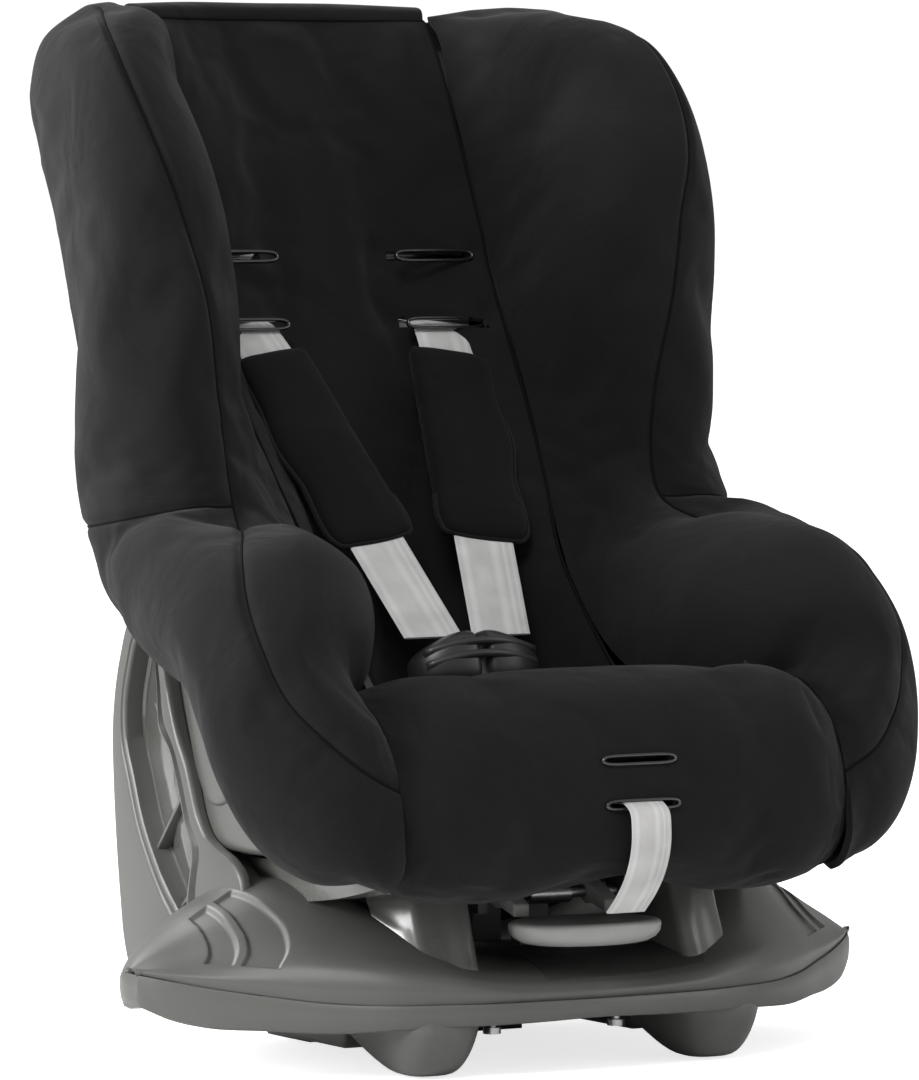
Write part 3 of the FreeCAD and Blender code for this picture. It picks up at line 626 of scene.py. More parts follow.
@dataclass
class Palette:
    """Every finish on the seat."""

    cover: Finish
    pad: Finish
    seam: Finish
    piping: Finish
    webbing: Finish
    shell: Finish
    shell_dark: Finish
    base: Finish
    base_gloss: Finish
    cradle: Finish
    label: Finish
    lever: Finish
    buckle: Finish
    gloss: Finish
    red: Finish
    steel: Finish
    rubber: Finish

    @classmethod
    def mix(cls) -> "Palette":
        """Builds all the finishes on the two shared groups."""
        weave, grain = build_weave(), build_grain()
        cloths = {
            "cover": Cloth("cover_cloth", (0.0018, 0.0018, 0.002), (0.0075, 0.0075, 0.008),
                           thread=1.1, sheen=0.05, relief=0.2),
            "seam": Cloth("seam_thread", (0.0006, 0.0006, 0.0007), (0.0012, 0.0012, 0.0013),
                          thread=1.4, fibre=0.2, sheen=0.0, relief=0.1),
            "pad": Cloth("pad_cloth", (0.0012, 0.0012, 0.0014), (0.004, 0.004, 0.0045),
                         thread=0.7, fibre=0.25, sheen=0.03, relief=0.1),
            "piping": Cloth("piping_cloth", (0.002, 0.002, 0.002), (0.006, 0.006, 0.0065),
                            thread=0.9, sheen=0.06, relief=0.15)}
        webbing = Webbing("harness_webbing", (0.44, 0.435, 0.43), (0.72, 0.715, 0.71)).make()
        plastics = {
            "shell": Moulded("shell_plastic", (0.075, 0.075, 0.07), (0.098, 0.098, 0.092),
                             rough=0.3),
            "shell_dark": Moulded("shell_dark_plastic", (0.02, 0.02, 0.0195),
                                  (0.04, 0.04, 0.039), rough=0.4),
            "base": Moulded("base_plastic", (0.078, 0.078, 0.073), (0.098, 0.098, 0.092),
                            rough=0.36),
            "label": Moulded("blank_label_film", (0.04, 0.04, 0.038), (0.055, 0.055, 0.053)),
            "base_gloss": Moulded("recess_plastic", (0.07, 0.07, 0.065), (0.1, 0.1, 0.094),
                                  rough=0.14, coat=0.7, marks=0.12, relief=0.015),
            "cradle": Moulded("cradle_plastic", (0.075, 0.075, 0.07), (0.105, 0.105, 0.098),
                              rough=0.26, coat=0.3, marks=0.12, relief=0.015),
            "lever": Moulded("lever_plastic", (0.28, 0.28, 0.27), (0.35, 0.35, 0.338),
                             rough=0.36),
            "buckle": Moulded("buckle_plastic", (0.018, 0.018, 0.018), (0.045, 0.045, 0.045),
                              rough=0.34),
            "gloss": Moulded("trim_plastic", (0.006, 0.006, 0.006), (0.02, 0.02, 0.02),
                             rough=0.12, coat=0.8),
            "red": Moulded("button_plastic", (0.42, 0.014, 0.012), (0.55, 0.03, 0.025),
                           rough=0.3, coat=0.3),
            "steel": Moulded("zinc_steel", (0.42, 0.42, 0.43), (0.6, 0.6, 0.61), rough=0.3,
                             metal=1.0),
            "rubber": Moulded("heel_rubber", (0.012, 0.012, 0.012), (0.035, 0.035, 0.034),
                              rough=0.75, grain=1.4, relief=0.12)}
        return cls(webbing=webbing,
                   **{key: look.make(weave) for key, look in cloths.items()},
                   **{key: look.make(grain) for key, look in plastics.items()})


# ------------------------------------------------------------------ studio
@dataclass
class Studio:
    """Camera, floor and soft light."""

    target: Point = (0.0, -15.0, 286.0)
    azimuth: float = -30.0
    elevation: float = 2.796
    distance: float = 4095.0
    lens: float = 241.6
    glow: float = 0.75

    def eye(self) -> Vector:
        """Where the camera stands."""
        turn, lift = math.radians(self.azimuth), math.radians(self.elevation)
        back = Vector((math.sin(turn) * math.cos(lift), -math.cos(turn) * math.cos(lift),
                       math.sin(lift)))
        return vec(self.target) + back * self.distance * MM

    def set_camera(self) -> None:
        """Adds the camera and looks at the seat."""
        deselect()
        bpy.ops.object.camera_add(location=self.eye())
        camera = bpy.context.object
        camera.name = "camera"
        way = vec(self.target) - camera.location
        camera.rotation_euler = way.to_track_quat("-Z", "Y").to_euler()
        camera.data.sensor_fit = "VERTICAL"
        camera.data.sensor_height = 36.0
        camera.data.sensor_width = 36.0
        camera.data.lens = self.lens
        bpy.context.scene.camera = camera

    def add_light(self, name: str, place: Point, size: float, power: float) -> None:
        """Adds one soft panel of light that faces the seat; place is in metres."""
        deselect()
        bpy.ops.object.light_add(type="AREA", location=place)
        lamp = bpy.context.object
        lamp.name = lamp.data.name = name
        lamp.data.shape = "DISK"
        lamp.data.size = size
        lamp.data.energy = power
        way = Vector((0.0, 0.0, 0.28)) - lamp.location
        lamp.rotation_euler = way.to_track_quat("-Z", "Y").to_euler()

    def lay_floor(self) -> None:
        """Adds the pale floor."""
        deselect()
        bpy.ops.mesh.primitive_plane_add(size=60.0, location=(0.0, 0.0, -0.0004))
        floor = bpy.context.object
        floor.name = "studio_floor"
        finish, shader = new_material("floor_paper")
        tree = finish.node_tree
        mottle = noise(tree, own_place(tree), Scale=3.0)
        seen = add_node(tree, "LightPath").outputs["Is Camera Ray"]
        set_inputs(tree, shader, {
            "Base Color": mix_colour(tree, mottle, (0.86, 0.86, 0.86), (0.9, 0.9, 0.9)),
            "Roughness": 0.9, "Emission Color": (1.0, 1.0, 1.0, 1.0),
            "Emission Strength": link_math(tree, "MULTIPLY", seen, self.glow)})
        floor.data.materials.append(finish)

    def build(self) -> None:
        """Sets up the whole studio."""
        self.set_camera()
        self.lay_floor()
        self.add_light("key_panel", (-1.8, -2.0, 2.8), 1.3, 62.0)
        self.add_light("fill_panel", (2.4, -2.0, 1.2), 1.6, 14.0)
        self.add_light("back_panel", (-1.2, 2.4, 2.2), 1.8, 60.0)
        self.add_light("left_panel", (-3.0, 0.5, 1.1), 1.3, 105.0)
        world = bpy.data.worlds.new("studio_air")
        bpy.context.scene.world = world
        world.use_nodes = True
        tree = world.node_tree
        seen = add_node(tree, "LightPath").outputs["Is Camera Ray"]
        level = add_node(tree, "MapRange", {"To Min": 0.52, "To Max": 1.05, "Value": seen})
        set_inputs(tree, tree.nodes["Background"], {
            "Color": (1.0, 1.0, 1.0, 1.0), "Strength": level.outputs[0]})
        bpy.context.scene.view_settings.view_transform = "Standard"


# ------------------------------------------------------------------ upholstery
@dataclass
class Filling:
    """How a padded piece swells between its seams."""

    pressure: float = 4.0
    most: float = 7.0
    slack: float = 0.02
    steps: int = 20
    stiff: float = 18.0
    amount: float = 0.6


def swell(piece: Piece, pinned: Sequence[int], filling: Filling) -> None:
    """Fills a piece by cloth simulation, held along its seams.

    Args:
        piece: the sewn shape, a little small.
        pinned: the corners that the seams hold.
        filling: pressure, slack and the farthest that a point may go, in millimetres.
    """
    before = [corner.co.copy() for corner in piece.data.vertices]
    holds = piece.vertex_groups.new(name="seams")
    holds.add(list(pinned), 1.0, "REPLACE")
    activate(piece)
    modifier = piece.modifiers.new("filling", "CLOTH")
    cloth = modifier.settings
    cloth.quality = 5
    cloth.mass = 0.2
    cloth.tension_stiffness = filling.stiff
    cloth.compression_stiffness = filling.stiff
    cloth.shear_stiffness = 6.0
    cloth.bending_stiffness = 0.4
    cloth.air_damping = 2.0
    cloth.use_pressure = True
    cloth.uniform_pressure_force = filling.pressure
    cloth.shrink_min = -filling.slack
    cloth.effector_weights.gravity = 0.0
    cloth.vertex_group_mass = "seams"
    modifier.point_cache.frame_start = 1
    modifier.point_cache.frame_end = filling.steps
    for step in range(1, filling.steps + 1):
        bpy.context.scene.frame_set(step)
    bpy.ops.object.modifier_apply(modifier=modifier.name)
    bpy.context.scene.frame_set(1)
    piece.vertex_groups.clear()
    most = filling.most * MM
    for corner, start in zip(piece.data.vertices, before):
        moved = corner.co - start
        if moved.length > most:
            corner.co = start + moved * (most / moved.length)


def soften(piece: Piece, factor: float = 0.4, rounds: int = 2) -> None:
    """Evens out a piece's surface a little."""
    apply_modifier(piece, "SMOOTH", factor=factor, iterations=rounds)


def sew(piece: Piece, seams: Sequence[Sequence[Vector]], depth: float = 1.8,
        width: float = 2.6) -> None:
    """Draws the surface in along seam lines, in millimetres.

    Args:
        piece: the padded piece.
        seams: the lines, as points in metres.
        depth: how far the seam pulls in.
        width: how wide the valley is.
    """
    tree = finder([point for seam in seams for point in spread(seam, max(8, int(sum(
        (b - a).length for a, b in zip(seam, seam[1:])) / 0.0012)))])
    mark = piece.data.attributes.new("seam", "FLOAT", "POINT")
    normals = [corner.normal.copy() for corner in piece.data.vertices]
    for corner, normal in zip(piece.data.vertices, normals):
        gap = tree.find(corner.co)[2] / MM
        pull = math.exp(-(gap / width) ** 2)
        corner.co -= normal * (depth * pull * MM)
        mark.data[corner.index].value = pull


def line_with(piece: Piece, thick: float) -> None:
    """Gives a sheet its thickness in millimetres, inwards."""
    apply_modifier(piece, "SOLIDIFY", thickness=thick * MM, offset=-1.0, use_rim=True)


def welt(name: str, path: Sequence[Vector], palette: "Palette", radius: float = 0.95) -> None:
    """Lays the dark stitched cord that closes a seam.

    Args:
        name: the cord's name.
        path: points of the seam, in metres.
        palette: the finishes.
        radius: the cord's radius in millimetres.
    """
    line = [point for i, point in enumerate(path)
            if not i or (point - path[i - 1]).length > 1e-5]
    rings = []
    for i, point in enumerate(line):
        ahead = heading(line, i).normalized()
        across = ahead.cross(Vector((0.3, 0.2, 0.93))).normalized()
        rings.append(round_ring(point, across, ahead.cross(across), radius, 6))
    cord = tube_of(name, rings)
    outward(cord)
    smooth(cord, 80)
    finish_piece(cord, palette.seam, "seat")


def face_away(piece: Piece, inside: Vector) -> None:
    """Turns an open sheet so that most of its faces look away from a point."""
    score = sum((face.center - inside).dot(face.normal) * face.area
                for face in piece.data.polygons)
    if score < 0:
        with edit_mode(piece):
            bpy.ops.mesh.select_all(action="SELECT")
            bpy.ops.mesh.flip_normals()


@dataclass
class SideCover:
    """Outer and inner cloth of one wing and arm, sewn along the front edge.

    Each station runs from the hem behind the shell, round the outside, over the
    seam (fifth point) and down the inside to the back panel's or cushion's edge.
    """

    side: Side
    rows_per: int = 7
    cols_per: int = 7
    seam_column: int = 4
    waist_row: int = 8
    thick: float = 4.0
    filling: Filling = field(default_factory=lambda: Filling(pressure=3.2, most=6.0, slack=0.015))
    stations: tuple[tuple[Point, ...], ...] = (
        ((108, 200, 585), (126, 187, 588), (140, 167, 590), (149, 150, 590), (151, 135, 588.5),
         (137, 150, 592), (116, 172, 591.5), (95, 190, 587)),
        ((140, 196, 573), (168, 170, 569), (180, 132, 568), (183, 92, 569), (176, 74, 571),
         (150, 84, 577), (118, 116, 578), (96, 178, 574)),
        ((164, 190, 538), (186, 152, 537), (192, 102, 538), (191, 58, 540), (179, 41, 541),
         (154, 48, 543), (123, 88, 542), (97.5, 166, 540)),
        ((176, 160, 503), (193, 126, 503), (197, 74, 503), (192, 34, 503), (173, 17, 503),
         (147, 26, 506), (119, 72, 506), (99, 150, 505)),
        ((180, 134, 468), (194, 104, 467), (198, 60, 468), (189, 20, 470), (163, 9, 470),
         (139, 18, 471), (113, 66, 471), (100, 134, 470)),
        ((180, 116, 421), (192, 90, 421), (197, 44, 421), (182, 8, 422), (151.5, 1.5, 422),
         (132, 16, 425), (108, 54, 425), (99, 110, 424)),
        ((176, 106, 366), (191, 86, 364), (194, 34, 362), (175, 0, 362), (141, 5.5, 364),
         (126, 17, 365), (108, 40, 364), (95, 71, 364)),
        ((180, 98, 332), (195, 74, 328), (191, 20, 326), (168, -4, 328), (138, 4, 334),
         (124, 14, 334), (107, 28, 332), (90, 46, 330)),
        ((186, 76, 294), (203, 50, 296), (197, 12, 302), (171, -13, 309), (139, -6, 309),
         (123, -2, 312), (105, 8, 304), (85, 24, 296)),
        ((190, 26, 246), (206, 16, 258), (211, 4, 281), (188, -22, 305), (147, -27, 298),
         (127, -28, 299), (105, -20, 285), (82, -4, 258)),
        ((186, -24, 218), (207, -29, 228), (219, -46, 262), (201, -66, 292), (174, -79, 297),
         (144, -80, 300), (114, -70, 284), (88, -46, 216)),
        ((180, -62, 198), (206, -74, 206), (221, -90, 240), (211, -104, 272), (194, -115, 283),
         (158, -118, 291), (116, -104, 276), (99, -78, 200)),
        ((174, -94, 163), (205, -102, 177), (222, -116, 212), (216, -127, 244), (203, -138, 260),
         (166, -140, 274), (119, -122, 262), (112, -102, 202)),
        ((168, -112, 138), (198, -122, 146), (221, -132, 181), (217, -146, 216), (204, -158, 236),
         (172, -158, 254), (132, -143, 246), (126, -124, 206)),
        ((160, -126, 120), (188, -138, 123), (213, -148, 156), (212, -160, 190), (198, -170, 213),
         (172, -170, 230), (151, -156, 226), (140, -140, 213)),
        ((150, -142, 110), (173, -156, 112), (196, -168, 136), (198, -178, 165), (182, -186, 191),
         (164, -184, 206), (151, -172, 210), (142, -158, 207)),
        ((146, -162, 110), (157, -176, 112), (171, -188, 126), (174, -195, 148), (160, -197, 172),
         (152, -194, 184), (146, -186, 194), (142, -174, 198)),
        ((142, -182, 106), (142, -193, 110), (142, -203, 125), (142, -203, 142), (142, -198, 163),
         (142, -195, 171), (142, -190, 180), (142, -184, 188)),
    )

    def build(self, palette: Palette) -> Piece:
        """Sews, fills and dresses the side."""
        sign = self.side.value
        rows = net([[vec(p, sign) for p in row] for row in self.stations],
                   self.rows_per, self.cols_per)
        piece = sheet_of(f"side_cover_{self.side.word}", rows)
        self.close_top(piece, len(rows[0]))
        face_away(piece, vec((165, 60, 450), sign))
        width, seam = len(rows[0]), self.seam_column * self.cols_per
        edge = [row * width + seam for row in range(len(rows))]
        waist = [self.waist_row * self.rows_per * width + i for i in range(seam + 1)]
        swell(piece, sorted(border(width, len(rows)) | {*edge, *waist}), self.filling)
        seams = [corners_at(piece, edge), corners_at(piece, waist)]
        soften(piece, 0.3, 1)
        apply_modifier(piece, "SUBSURF", levels=1, render_levels=1)
        sew(piece, seams)
        welt(f"side_seam_{self.side.word}", corners_at(piece, edge), palette)
        welt(f"waist_seam_{self.side.word}", corners_at(piece, waist), palette)
        line_with(piece, self.thick)
        smooth(piece, 60)
        return finish_piece(piece, palette.cover, "seat",
                            [f"cover_side_{self.side.word}", f"cover_wing_{self.side.word}"])

    @staticmethod
    def close_top(piece: Piece, width: int) -> None:
        """Sews the top row's outer half to its inner half."""
        with edit_mode(piece) as mesh:
            ends = [mesh.verts[i] for i in range(width)]
            for i in range(width // 2 - 1):
                a, b, c, d = ends[i], ends[i + 1], ends[width - 2 - i], ends[width - 1 - i]
                if b != c:
                    mesh.faces.new((a, b, c, d))
            bmesh.update_edit_mesh(piece.data)
            turn_faces_out()


@dataclass
class PaddedSheet:
    """A padded panel drawn as the right halves of its rows, sewn all round."""

    name: str
    rows: tuple[tuple[Point, ...], ...]
    inside: Point
    rows_per: int = 8
    cols_per: int = 8
    thick: float = 5.0
    filling: Filling = field(default_factory=Filling)
    openings: tuple[tuple[float, float, float, float, float, float], ...] = ()
    tufts: tuple[tuple[Flat, ...], ...] = ()
    welted: bool = False

    def build(self, palette: Palette, finish: bpy.types.Material, slot: str,
              replaced: Sequence[str]) -> Piece:
        """Sews, fills and dresses the panel.

        Args:
            palette: the finishes, for the cord round the panel.
            finish: the cloth.
            slot: the record's finish slot; not used.
            replaced: the plain nodes that it stands for.

        Returns:
            The panel.
        """
        rows = net([[vec(p) for p in mirrored_row(row)] for row in self.rows],
                   self.rows_per, self.cols_per)
        piece = sheet_of(self.name, rows)
        face_away(piece, vec(self.inside))
        width, height = len(rows[0]), len(rows)
        pinned = border(width, height) | self.near_openings(piece, 5.0)
        swell(piece, sorted(pinned), self.filling)
        soften(piece, 0.3, 1)
        apply_modifier(piece, "SUBSURF", levels=1, render_levels=1)
        if self.tufts:
            sew(piece, [self.on_cloth(piece, tuft) for tuft in self.tufts], 4.0, 7.0)
        if self.welted:
            for word, numbers in (
                    ("left", [row * width for row in range(height)]),
                    ("right", [row * width + width - 1 for row in range(height)]),
                    ("upper", list(range(width)))):
                welt(f"{self.name}_seam_{word}", corners_at(piece, numbers), palette)
        self.cut_openings(piece)
        line_with(piece, self.thick)
        smooth(piece, 60)
        return finish_piece(piece, finish, "seat", replaced)

    @staticmethod
    def on_cloth(piece: Piece, flat: Sequence[Flat]) -> list[Vector]:
        """Drops (x, z) points on the panel from the front."""
        path = spline([vec((x, 0, z)) for x, z in flat], 4)
        found = []
        for point in path:
            hit, place, _, _ = piece.ray_cast(Vector((point.x, -0.4, point.z)),
                                              Vector((0, 1, 0)))
            if hit:
                found.append(place)
        return found

    def near_openings(self, piece: Piece, reach: float) -> set[int]:
        """Corners within reach of a slot, which its frame holds."""
        found = set()
        for x0, x1, y0, y1, z0, z1 in self.openings:
            for corner in piece.data.vertices:
                x, y, z = corner.co / MM
                if (x0 - reach < x < x1 + reach and y0 < y < y1
                        and z0 - reach < z < z1 + reach):
                    found.add(corner.index)
        return found

    def cut_openings(self, piece: Piece) -> None:
        """Takes out the cloth inside each slot."""
        if not self.openings:
            return
        with edit_mode(piece) as mesh:
            for face in mesh.faces:
                x, y, z = face.calc_center_median() / MM
                face.select = any(x0 < x < x1 and y0 < y < y1 and z0 < z < z1
                                  for x0, x1, y0, y1, z0, z1 in self.openings)
            bmesh.update_edit_mesh(piece.data)
            bpy.ops.mesh.delete(type="FACE")


def mirrored_row(points: Sequence[Point]) -> tuple[Point, ...]:
    """A full row from its right half, which starts on the middle."""
    left = [(-x, y, z) for x, y, z in reversed(points[1:])]
    return tuple(left) + tuple(points)


@dataclass
class Upholstery:
    """Every cover and padded panel of the seat."""

    back: tuple[tuple[Point, ...], ...] = (
        ((0, 213, 584), (50, 207, 584), (94, 190, 584)),
        ((0, 203, 560), (50, 196, 560), (95, 174, 560)),
        ((0, 178, 520), (50, 173, 520), (97, 157, 520)),
        ((0, 160, 480), (50, 155, 480), (98, 139, 480)),
        ((0, 146, 444), (50, 141, 444), (98, 121, 444)),
        ((0, 133, 406), (50, 126, 406), (96, 99, 406)),
        ((0, 112, 360), (48, 105, 360), (93, 68, 360)),
        ((0, 96, 318), (46, 86, 318), (88, 38, 318)),
        ((0, 76, 276), (44, 62, 276), (81, 10, 276)),
        ((0, 50, 228), (44, 34, 228), (83, -26, 232)),
        ((0, 24, 186), (46, 12, 186), (88, -44, 206)),
    )
    cushion: tuple[tuple[Point, ...], ...] = (
        ((0, 24, 186), (46, 12, 186), (88, -44, 207)),
        ((0, 0, 168), (46, -8, 170), (94, -56, 200)),
        ((0, -34, 164), (48, -40, 167), (102, -78, 197)),
        ((0, -72, 172), (54, -76, 176), (116, -98, 200)),
        ((0, -104, 188), (60, -106, 192), (128, -116, 206)),
        ((0, -128, 206), (66, -128, 206), (138, -132, 208)),
    )
    front: tuple[tuple[Point, ...], ...] = (
        ((0, -122, 194), (70, -122, 195), (128, -124, 199), (142, -128, 202)),
        ((0, -128, 210), (70, -128, 210), (126, -130, 207), (142, -132, 209)),
        ((0, -144, 220), (70, -144, 220), (124, -144, 216), (142, -145, 211)),
        ((0, -168, 218.5), (70, -167, 218.5), (123, -165, 214), (142, -162, 205)),
        ((0, -192, 206), (70, -190, 206), (123, -186, 202), (142, -181, 191)),
        ((0, -207, 181), (70, -205, 181), (123, -201, 178), (142, -192, 172)),
        ((0, -214, 148), (70, -212, 148), (123, -208, 147), (142, -197, 146)),
        ((0, -211, 120), (70, -209, 121), (123, -203, 124), (142, -194, 128)),
        ((0, -198, 109), (70, -195, 104), (122, -190, 108), (140, -183, 113)),
        ((0, -181, 110), (70, -177, 98), (120, -172, 101), (138, -168, 107)),
    )
    top: tuple[tuple[Point, ...], ...] = (
        ((0, 214, 583), (50, 208, 583), (94, 191, 583)),
        ((0, 215, 590), (50, 209.5, 590), (94, 192, 589)),
        ((0, 222, 593.5), (50, 217, 593.5), (95, 202, 592)),
        ((0, 231, 593), (50, 227, 593), (95, 212, 591)),
        ((0, 236, 588), (50, 233, 588), (95, 218, 586)),
        ((0, 236, 580), (50, 233, 580), (95, 218, 578)),
    )

    def build(self, palette: Palette) -> None:
        """Makes all the covers."""
        for side in Side:
            SideCover(side).build(palette)
        slots = tuple((x - 23.5, x + 23.5, 80.0, 180.0, z - 2.6, z + 2.6)
                      for x in (-65, 65) for z in (406, 445))
        lobes = (((92, 449), (97, 436), (94, 420), (88, 410)),
                 ((34, 449), (29, 436), (30, 420), (36, 408)))
        tufts = tuple(tuple((x * sign, z) for x, z in lobe) for lobe in lobes
                      for sign in (-1, 1))
        front_slots = tuple((-20.5, 20.5, -225.0, -190.0, z - 2.0, z + 2.0) for z in (151, 175))
        for sheet, node in (
                (PaddedSheet("back_cover", self.back, (0, 300, 350), rows_per=10, cols_per=12,
                             thick=6.0, openings=slots, tufts=tufts, welted=True,
                             filling=Filling(pressure=2.5, most=5.0, slack=0.01)),
                 "cover_back_panel"),
                (PaddedSheet("seat_cover", self.cushion, (0, -60, 50), cols_per=12, thick=8.0,
                             filling=Filling(pressure=2.0, most=4.0, slack=0.0)),
                 "seat_cushion"),
                (PaddedSheet("front_cover", self.front, (0, -150, 150), rows_per=9, cols_per=9,
                             thick=8.0, openings=front_slots, welted=True,
                             filling=Filling(pressure=3.0, most=5.0, slack=0.01)),
                 "cover_front_panel"),
                (PaddedSheet("top_cover", self.top, (0, 222, 560), rows_per=4, cols_per=12,
                             thick=3.0, filling=Filling(pressure=2.0, most=1.5, slack=0.0)),
                 "cover_top_band")):
            sheet.build(palette, palette.cover, "cover_fabric", [node])


# ------------------------------------------------------------------ harness
def strap_along(name: str, path: Sequence[Vector], across: Sequence[Vector], wide: float,
                thick: float = 1.6) -> Piece:
    """Webbing as a flat ribbon with rounded selvedges and a map along it.

    Args:
        name: the piece's name.
        path: the middle line, in metres.
        across: the width's direction at each point.
        wide: the width in millimetres.
        thick: the thickness in millimetres.

    Returns:
        The strap.
    """
    share = (-0.5, -0.47, -0.25, 0.0, 0.25, 0.47, 0.5)
    swell_by = (0.15, 0.9, 1.0, 1.0, 1.0, 0.9, 0.15)
    rings = []
    for i, point in enumerate(path):
        side = across[i].normalized()
        normal = side.cross(heading(path, i)).normalized()
        half = thick * MM / 2
        top = [point + side * (s * wide * MM) + normal * (half * g)
               for s, g in zip(share, swell_by)]
        low = [point + side * (s * wide * MM) - normal * (half * g)
               for s, g in zip(share, swell_by)]
        rings.append(top + low[::-1])
    piece = tube_of(name, rings)
    layer = piece.data.uv_layers.new(name="strap")
    reach = reaches(path)
    tree = finder(path)
    for loop in piece.data.loops:
        corner = piece.data.vertices[loop.vertex_index].co
        i = tree.find(corner)[1]
        offset = (corner - path[i]).dot(across[i].normalized())
        layer.data[loop.index].uv = (offset / (wide * MM) + 0.5, reach[i])
    smooth(piece, 50)
    return piece



@dataclass
class ShoulderPad:
    """Wrap-round shoulder pad with a piped, waved outer edge."""

    side: Side
    top: Point = (65.0, 116.0, 406.0)
    low: Point = (22.0, -24.0, 232.0)
    start: float = 24.0
    long: float = 134.0
    thick: float = 11.0
    outline: tuple[Flat, ...] = (
        (-25.5, 3), (-24, 0.8), (-20, 0), (0, -1), (18, 0), (22.5, 1.5), (24, 6), (24.5, 20),
        (25.5, 36), (28, 50), (29.5, 64), (28, 78), (26.5, 88), (27.5, 102), (29, 116),
        (28, 128), (24.5, 133), (16, 134), (0, 135), (-20, 134), (-24, 133.2), (-25.5, 130),
        (-26, 100), (-26, 66), (-26, 33),
    )

    def axes(self) -> tuple[Vector, Vector, Vector, Vector]:
        """The pad's origin, its run down the strap, its width and its face's direction."""
        sign = self.side.value
        top, low = vec(self.top, sign), vec(self.low, sign)
        run = (low - top).normalized()
        width = Vector((1.0, 0.0, 0.0))
        normal = run.cross(width).normalized()
        width = normal.cross(run).normalized()
        if normal.y > 0:
            normal = -normal
        return top + run * self.start * MM, run, width, normal

    def place(self, across: float, along: float, out: float) -> Vector:
        """A point on the pad from its own measures in millimetres."""
        origin, run, width, normal = self.axes()
        return (origin + run * along * MM + width * across * self.side.value * MM
                + normal * out * MM)

    def build(self, palette: Palette) -> None:
        """Makes the pad and its piping."""
        name = f"shoulder_pad_{self.side.word}"
        loop = closed([vec((x, y, 0)) for x, y in self.outline], 4)
        flat = [(p.x / MM, p.y / MM) for p in loop]
        half = self.thick / 2
        middle_y = self.long / 2
        rings = []
        for shrink, out in ((0.0, -half * 0.55), (0.0, half * 0.2), (1.6, half * 0.75),
                            (4.5, half * 1.0), (9.0, half * 1.12), (16.0, half * 1.2)):
            ring = []
            for x, y in flat:
                pull = min(shrink, abs(x) * 0.9) if abs(x) > 1 else 0.0
                sx = x - math.copysign(pull, x) if x else x
                sy = y + (shrink if y < middle_y else -shrink) * min(
                    1.0, abs(y - middle_y) / middle_y) ** 6
                ring.append(self.place(sx, sy, out))
            rings.append(ring)
        under = [[self.place(x * 0.97, middle_y + (y - middle_y) * 0.99, -half) for x, y in flat]]
        piece = tube_of(name, under + rings)
        apply_modifier(piece, "REMESH", mode="VOXEL", voxel_size=0.0022)
        swell(piece, [], Filling(pressure=3.0, most=2.2, slack=0.012, steps=14))
        soften(piece, 0.5, 3)
        edge = [self.place(x, y, half * 0.2) for x, y in flat]
        sew(piece, [edge[20:90]], depth=0.8, width=1.6)
        smooth(piece, 60)
        finish_piece(piece, palette.pad, name, [name])
        self.add_piping(palette, flat, half)

    def add_piping(self, palette: Palette, flat: Sequence[Flat], half: float) -> None:
        """Adds the corded edge along the top, the wave and the bottom."""
        run = [self.place(x * 1.015, y, half * 0.15) for x, y in flat][4:88]
        normal = self.axes()[3]
        rings = [round_ring(point, heading(run, i).normalized().cross(normal).normalized(),
                            normal, 1.35, 8) for i, point in enumerate(run)]
        cord = tube_of(f"pad_piping_{self.side.word}", rings)
        smooth(cord, 80)
        finish_piece(cord, palette.piping, f"shoulder_pad_{self.side.word}")


@dataclass(frozen=True)
class Strap:
    """One run of webbing, from points in millimetres, wide along X unless it slants."""

    name: str
    points: tuple[Point, ...]
    per_span: int
    wide: float = 38.0
    slant: Point | None = None

    def build(self, palette: Palette, side: Side | None = None) -> None:
        """Makes the strap, on one side of the seat where one is given."""
        sign = side.value if side else 1
        path = spline([vec(p, sign) for p in self.points], self.per_span)
        across = Vector((1, 0, 0))
        if self.slant:
            across = Vector((self.slant[0] * sign, self.slant[1], self.slant[2]))
        piece = strap_along(f"{self.name}_{side.word}" if side else self.name, path,
                            [across] * len(path), self.wide)
        finish_piece(piece, palette.webbing, "seat", [piece_node(piece)])


@dataclass
class Harness:
    """Webbing, pads, buckle, tongues and adjuster."""

    shoulder: Strap = Strap("shoulder_strap", (
        (65, 164, 406.5), (65, 140, 406.5), (65, 122, 406), (62.5, 109, 396), (57, 90, 373),
        (43.5, 46, 318.5), (32, 8.5, 272), (22, -24, 232)), 8)
    lap: Strap = Strap("lap_strap", (
        (26, -34, 206), (50, -26, 198), (78, -6, 188), (104, 16, 168)), 6,
        slant=(-0.6, 0.7, 0.25))
    crotch: Strap = Strap("crotch_strap", (
        (0, -41, 170), (0, -39, 150), (0, -37, 132), (0, -36, 114)), 5)
    adjuster: Strap = Strap("adjuster_strap", (
        (0, -176, 150.5), (0, -200, 151), (0, -215, 151.5), (0, -221, 147.5), (0, -223, 138),
        (0, -222, 126), (0, -216.5, 113), (0, -207, 101), (0, -196, 91)), 7, 25.0)
    rear: Strap = Strap("back_strap", (
        (65, 171, 406), (56, 162, 376), (41, 143, 336), (26, 124, 297)), 6)
    yoke: Strap = Strap("yoke_strap", (
        (0, 107, 254), (0, 84, 220), (0, 58, 182), (0, 34, 146)), 6, 25.0)

    def build(self, palette: Palette) -> None:
        """Makes the whole harness."""
        for side in Side:
            self.shoulder.build(palette, side)
            self.lap.build(palette, side)
            ShoulderPad(side).build(palette)
        self.crotch.build(palette)
        self.adjuster.build(palette)
        for side in Side:
            self.rear.build(palette, side)
        self.yoke.build(palette)
        Buckle().build(palette)


def piece_node(piece: Piece) -> str:
    """The plain node that a strap of the same name stands for."""
    return piece.name if piece.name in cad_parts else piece.name.split(".")[0]


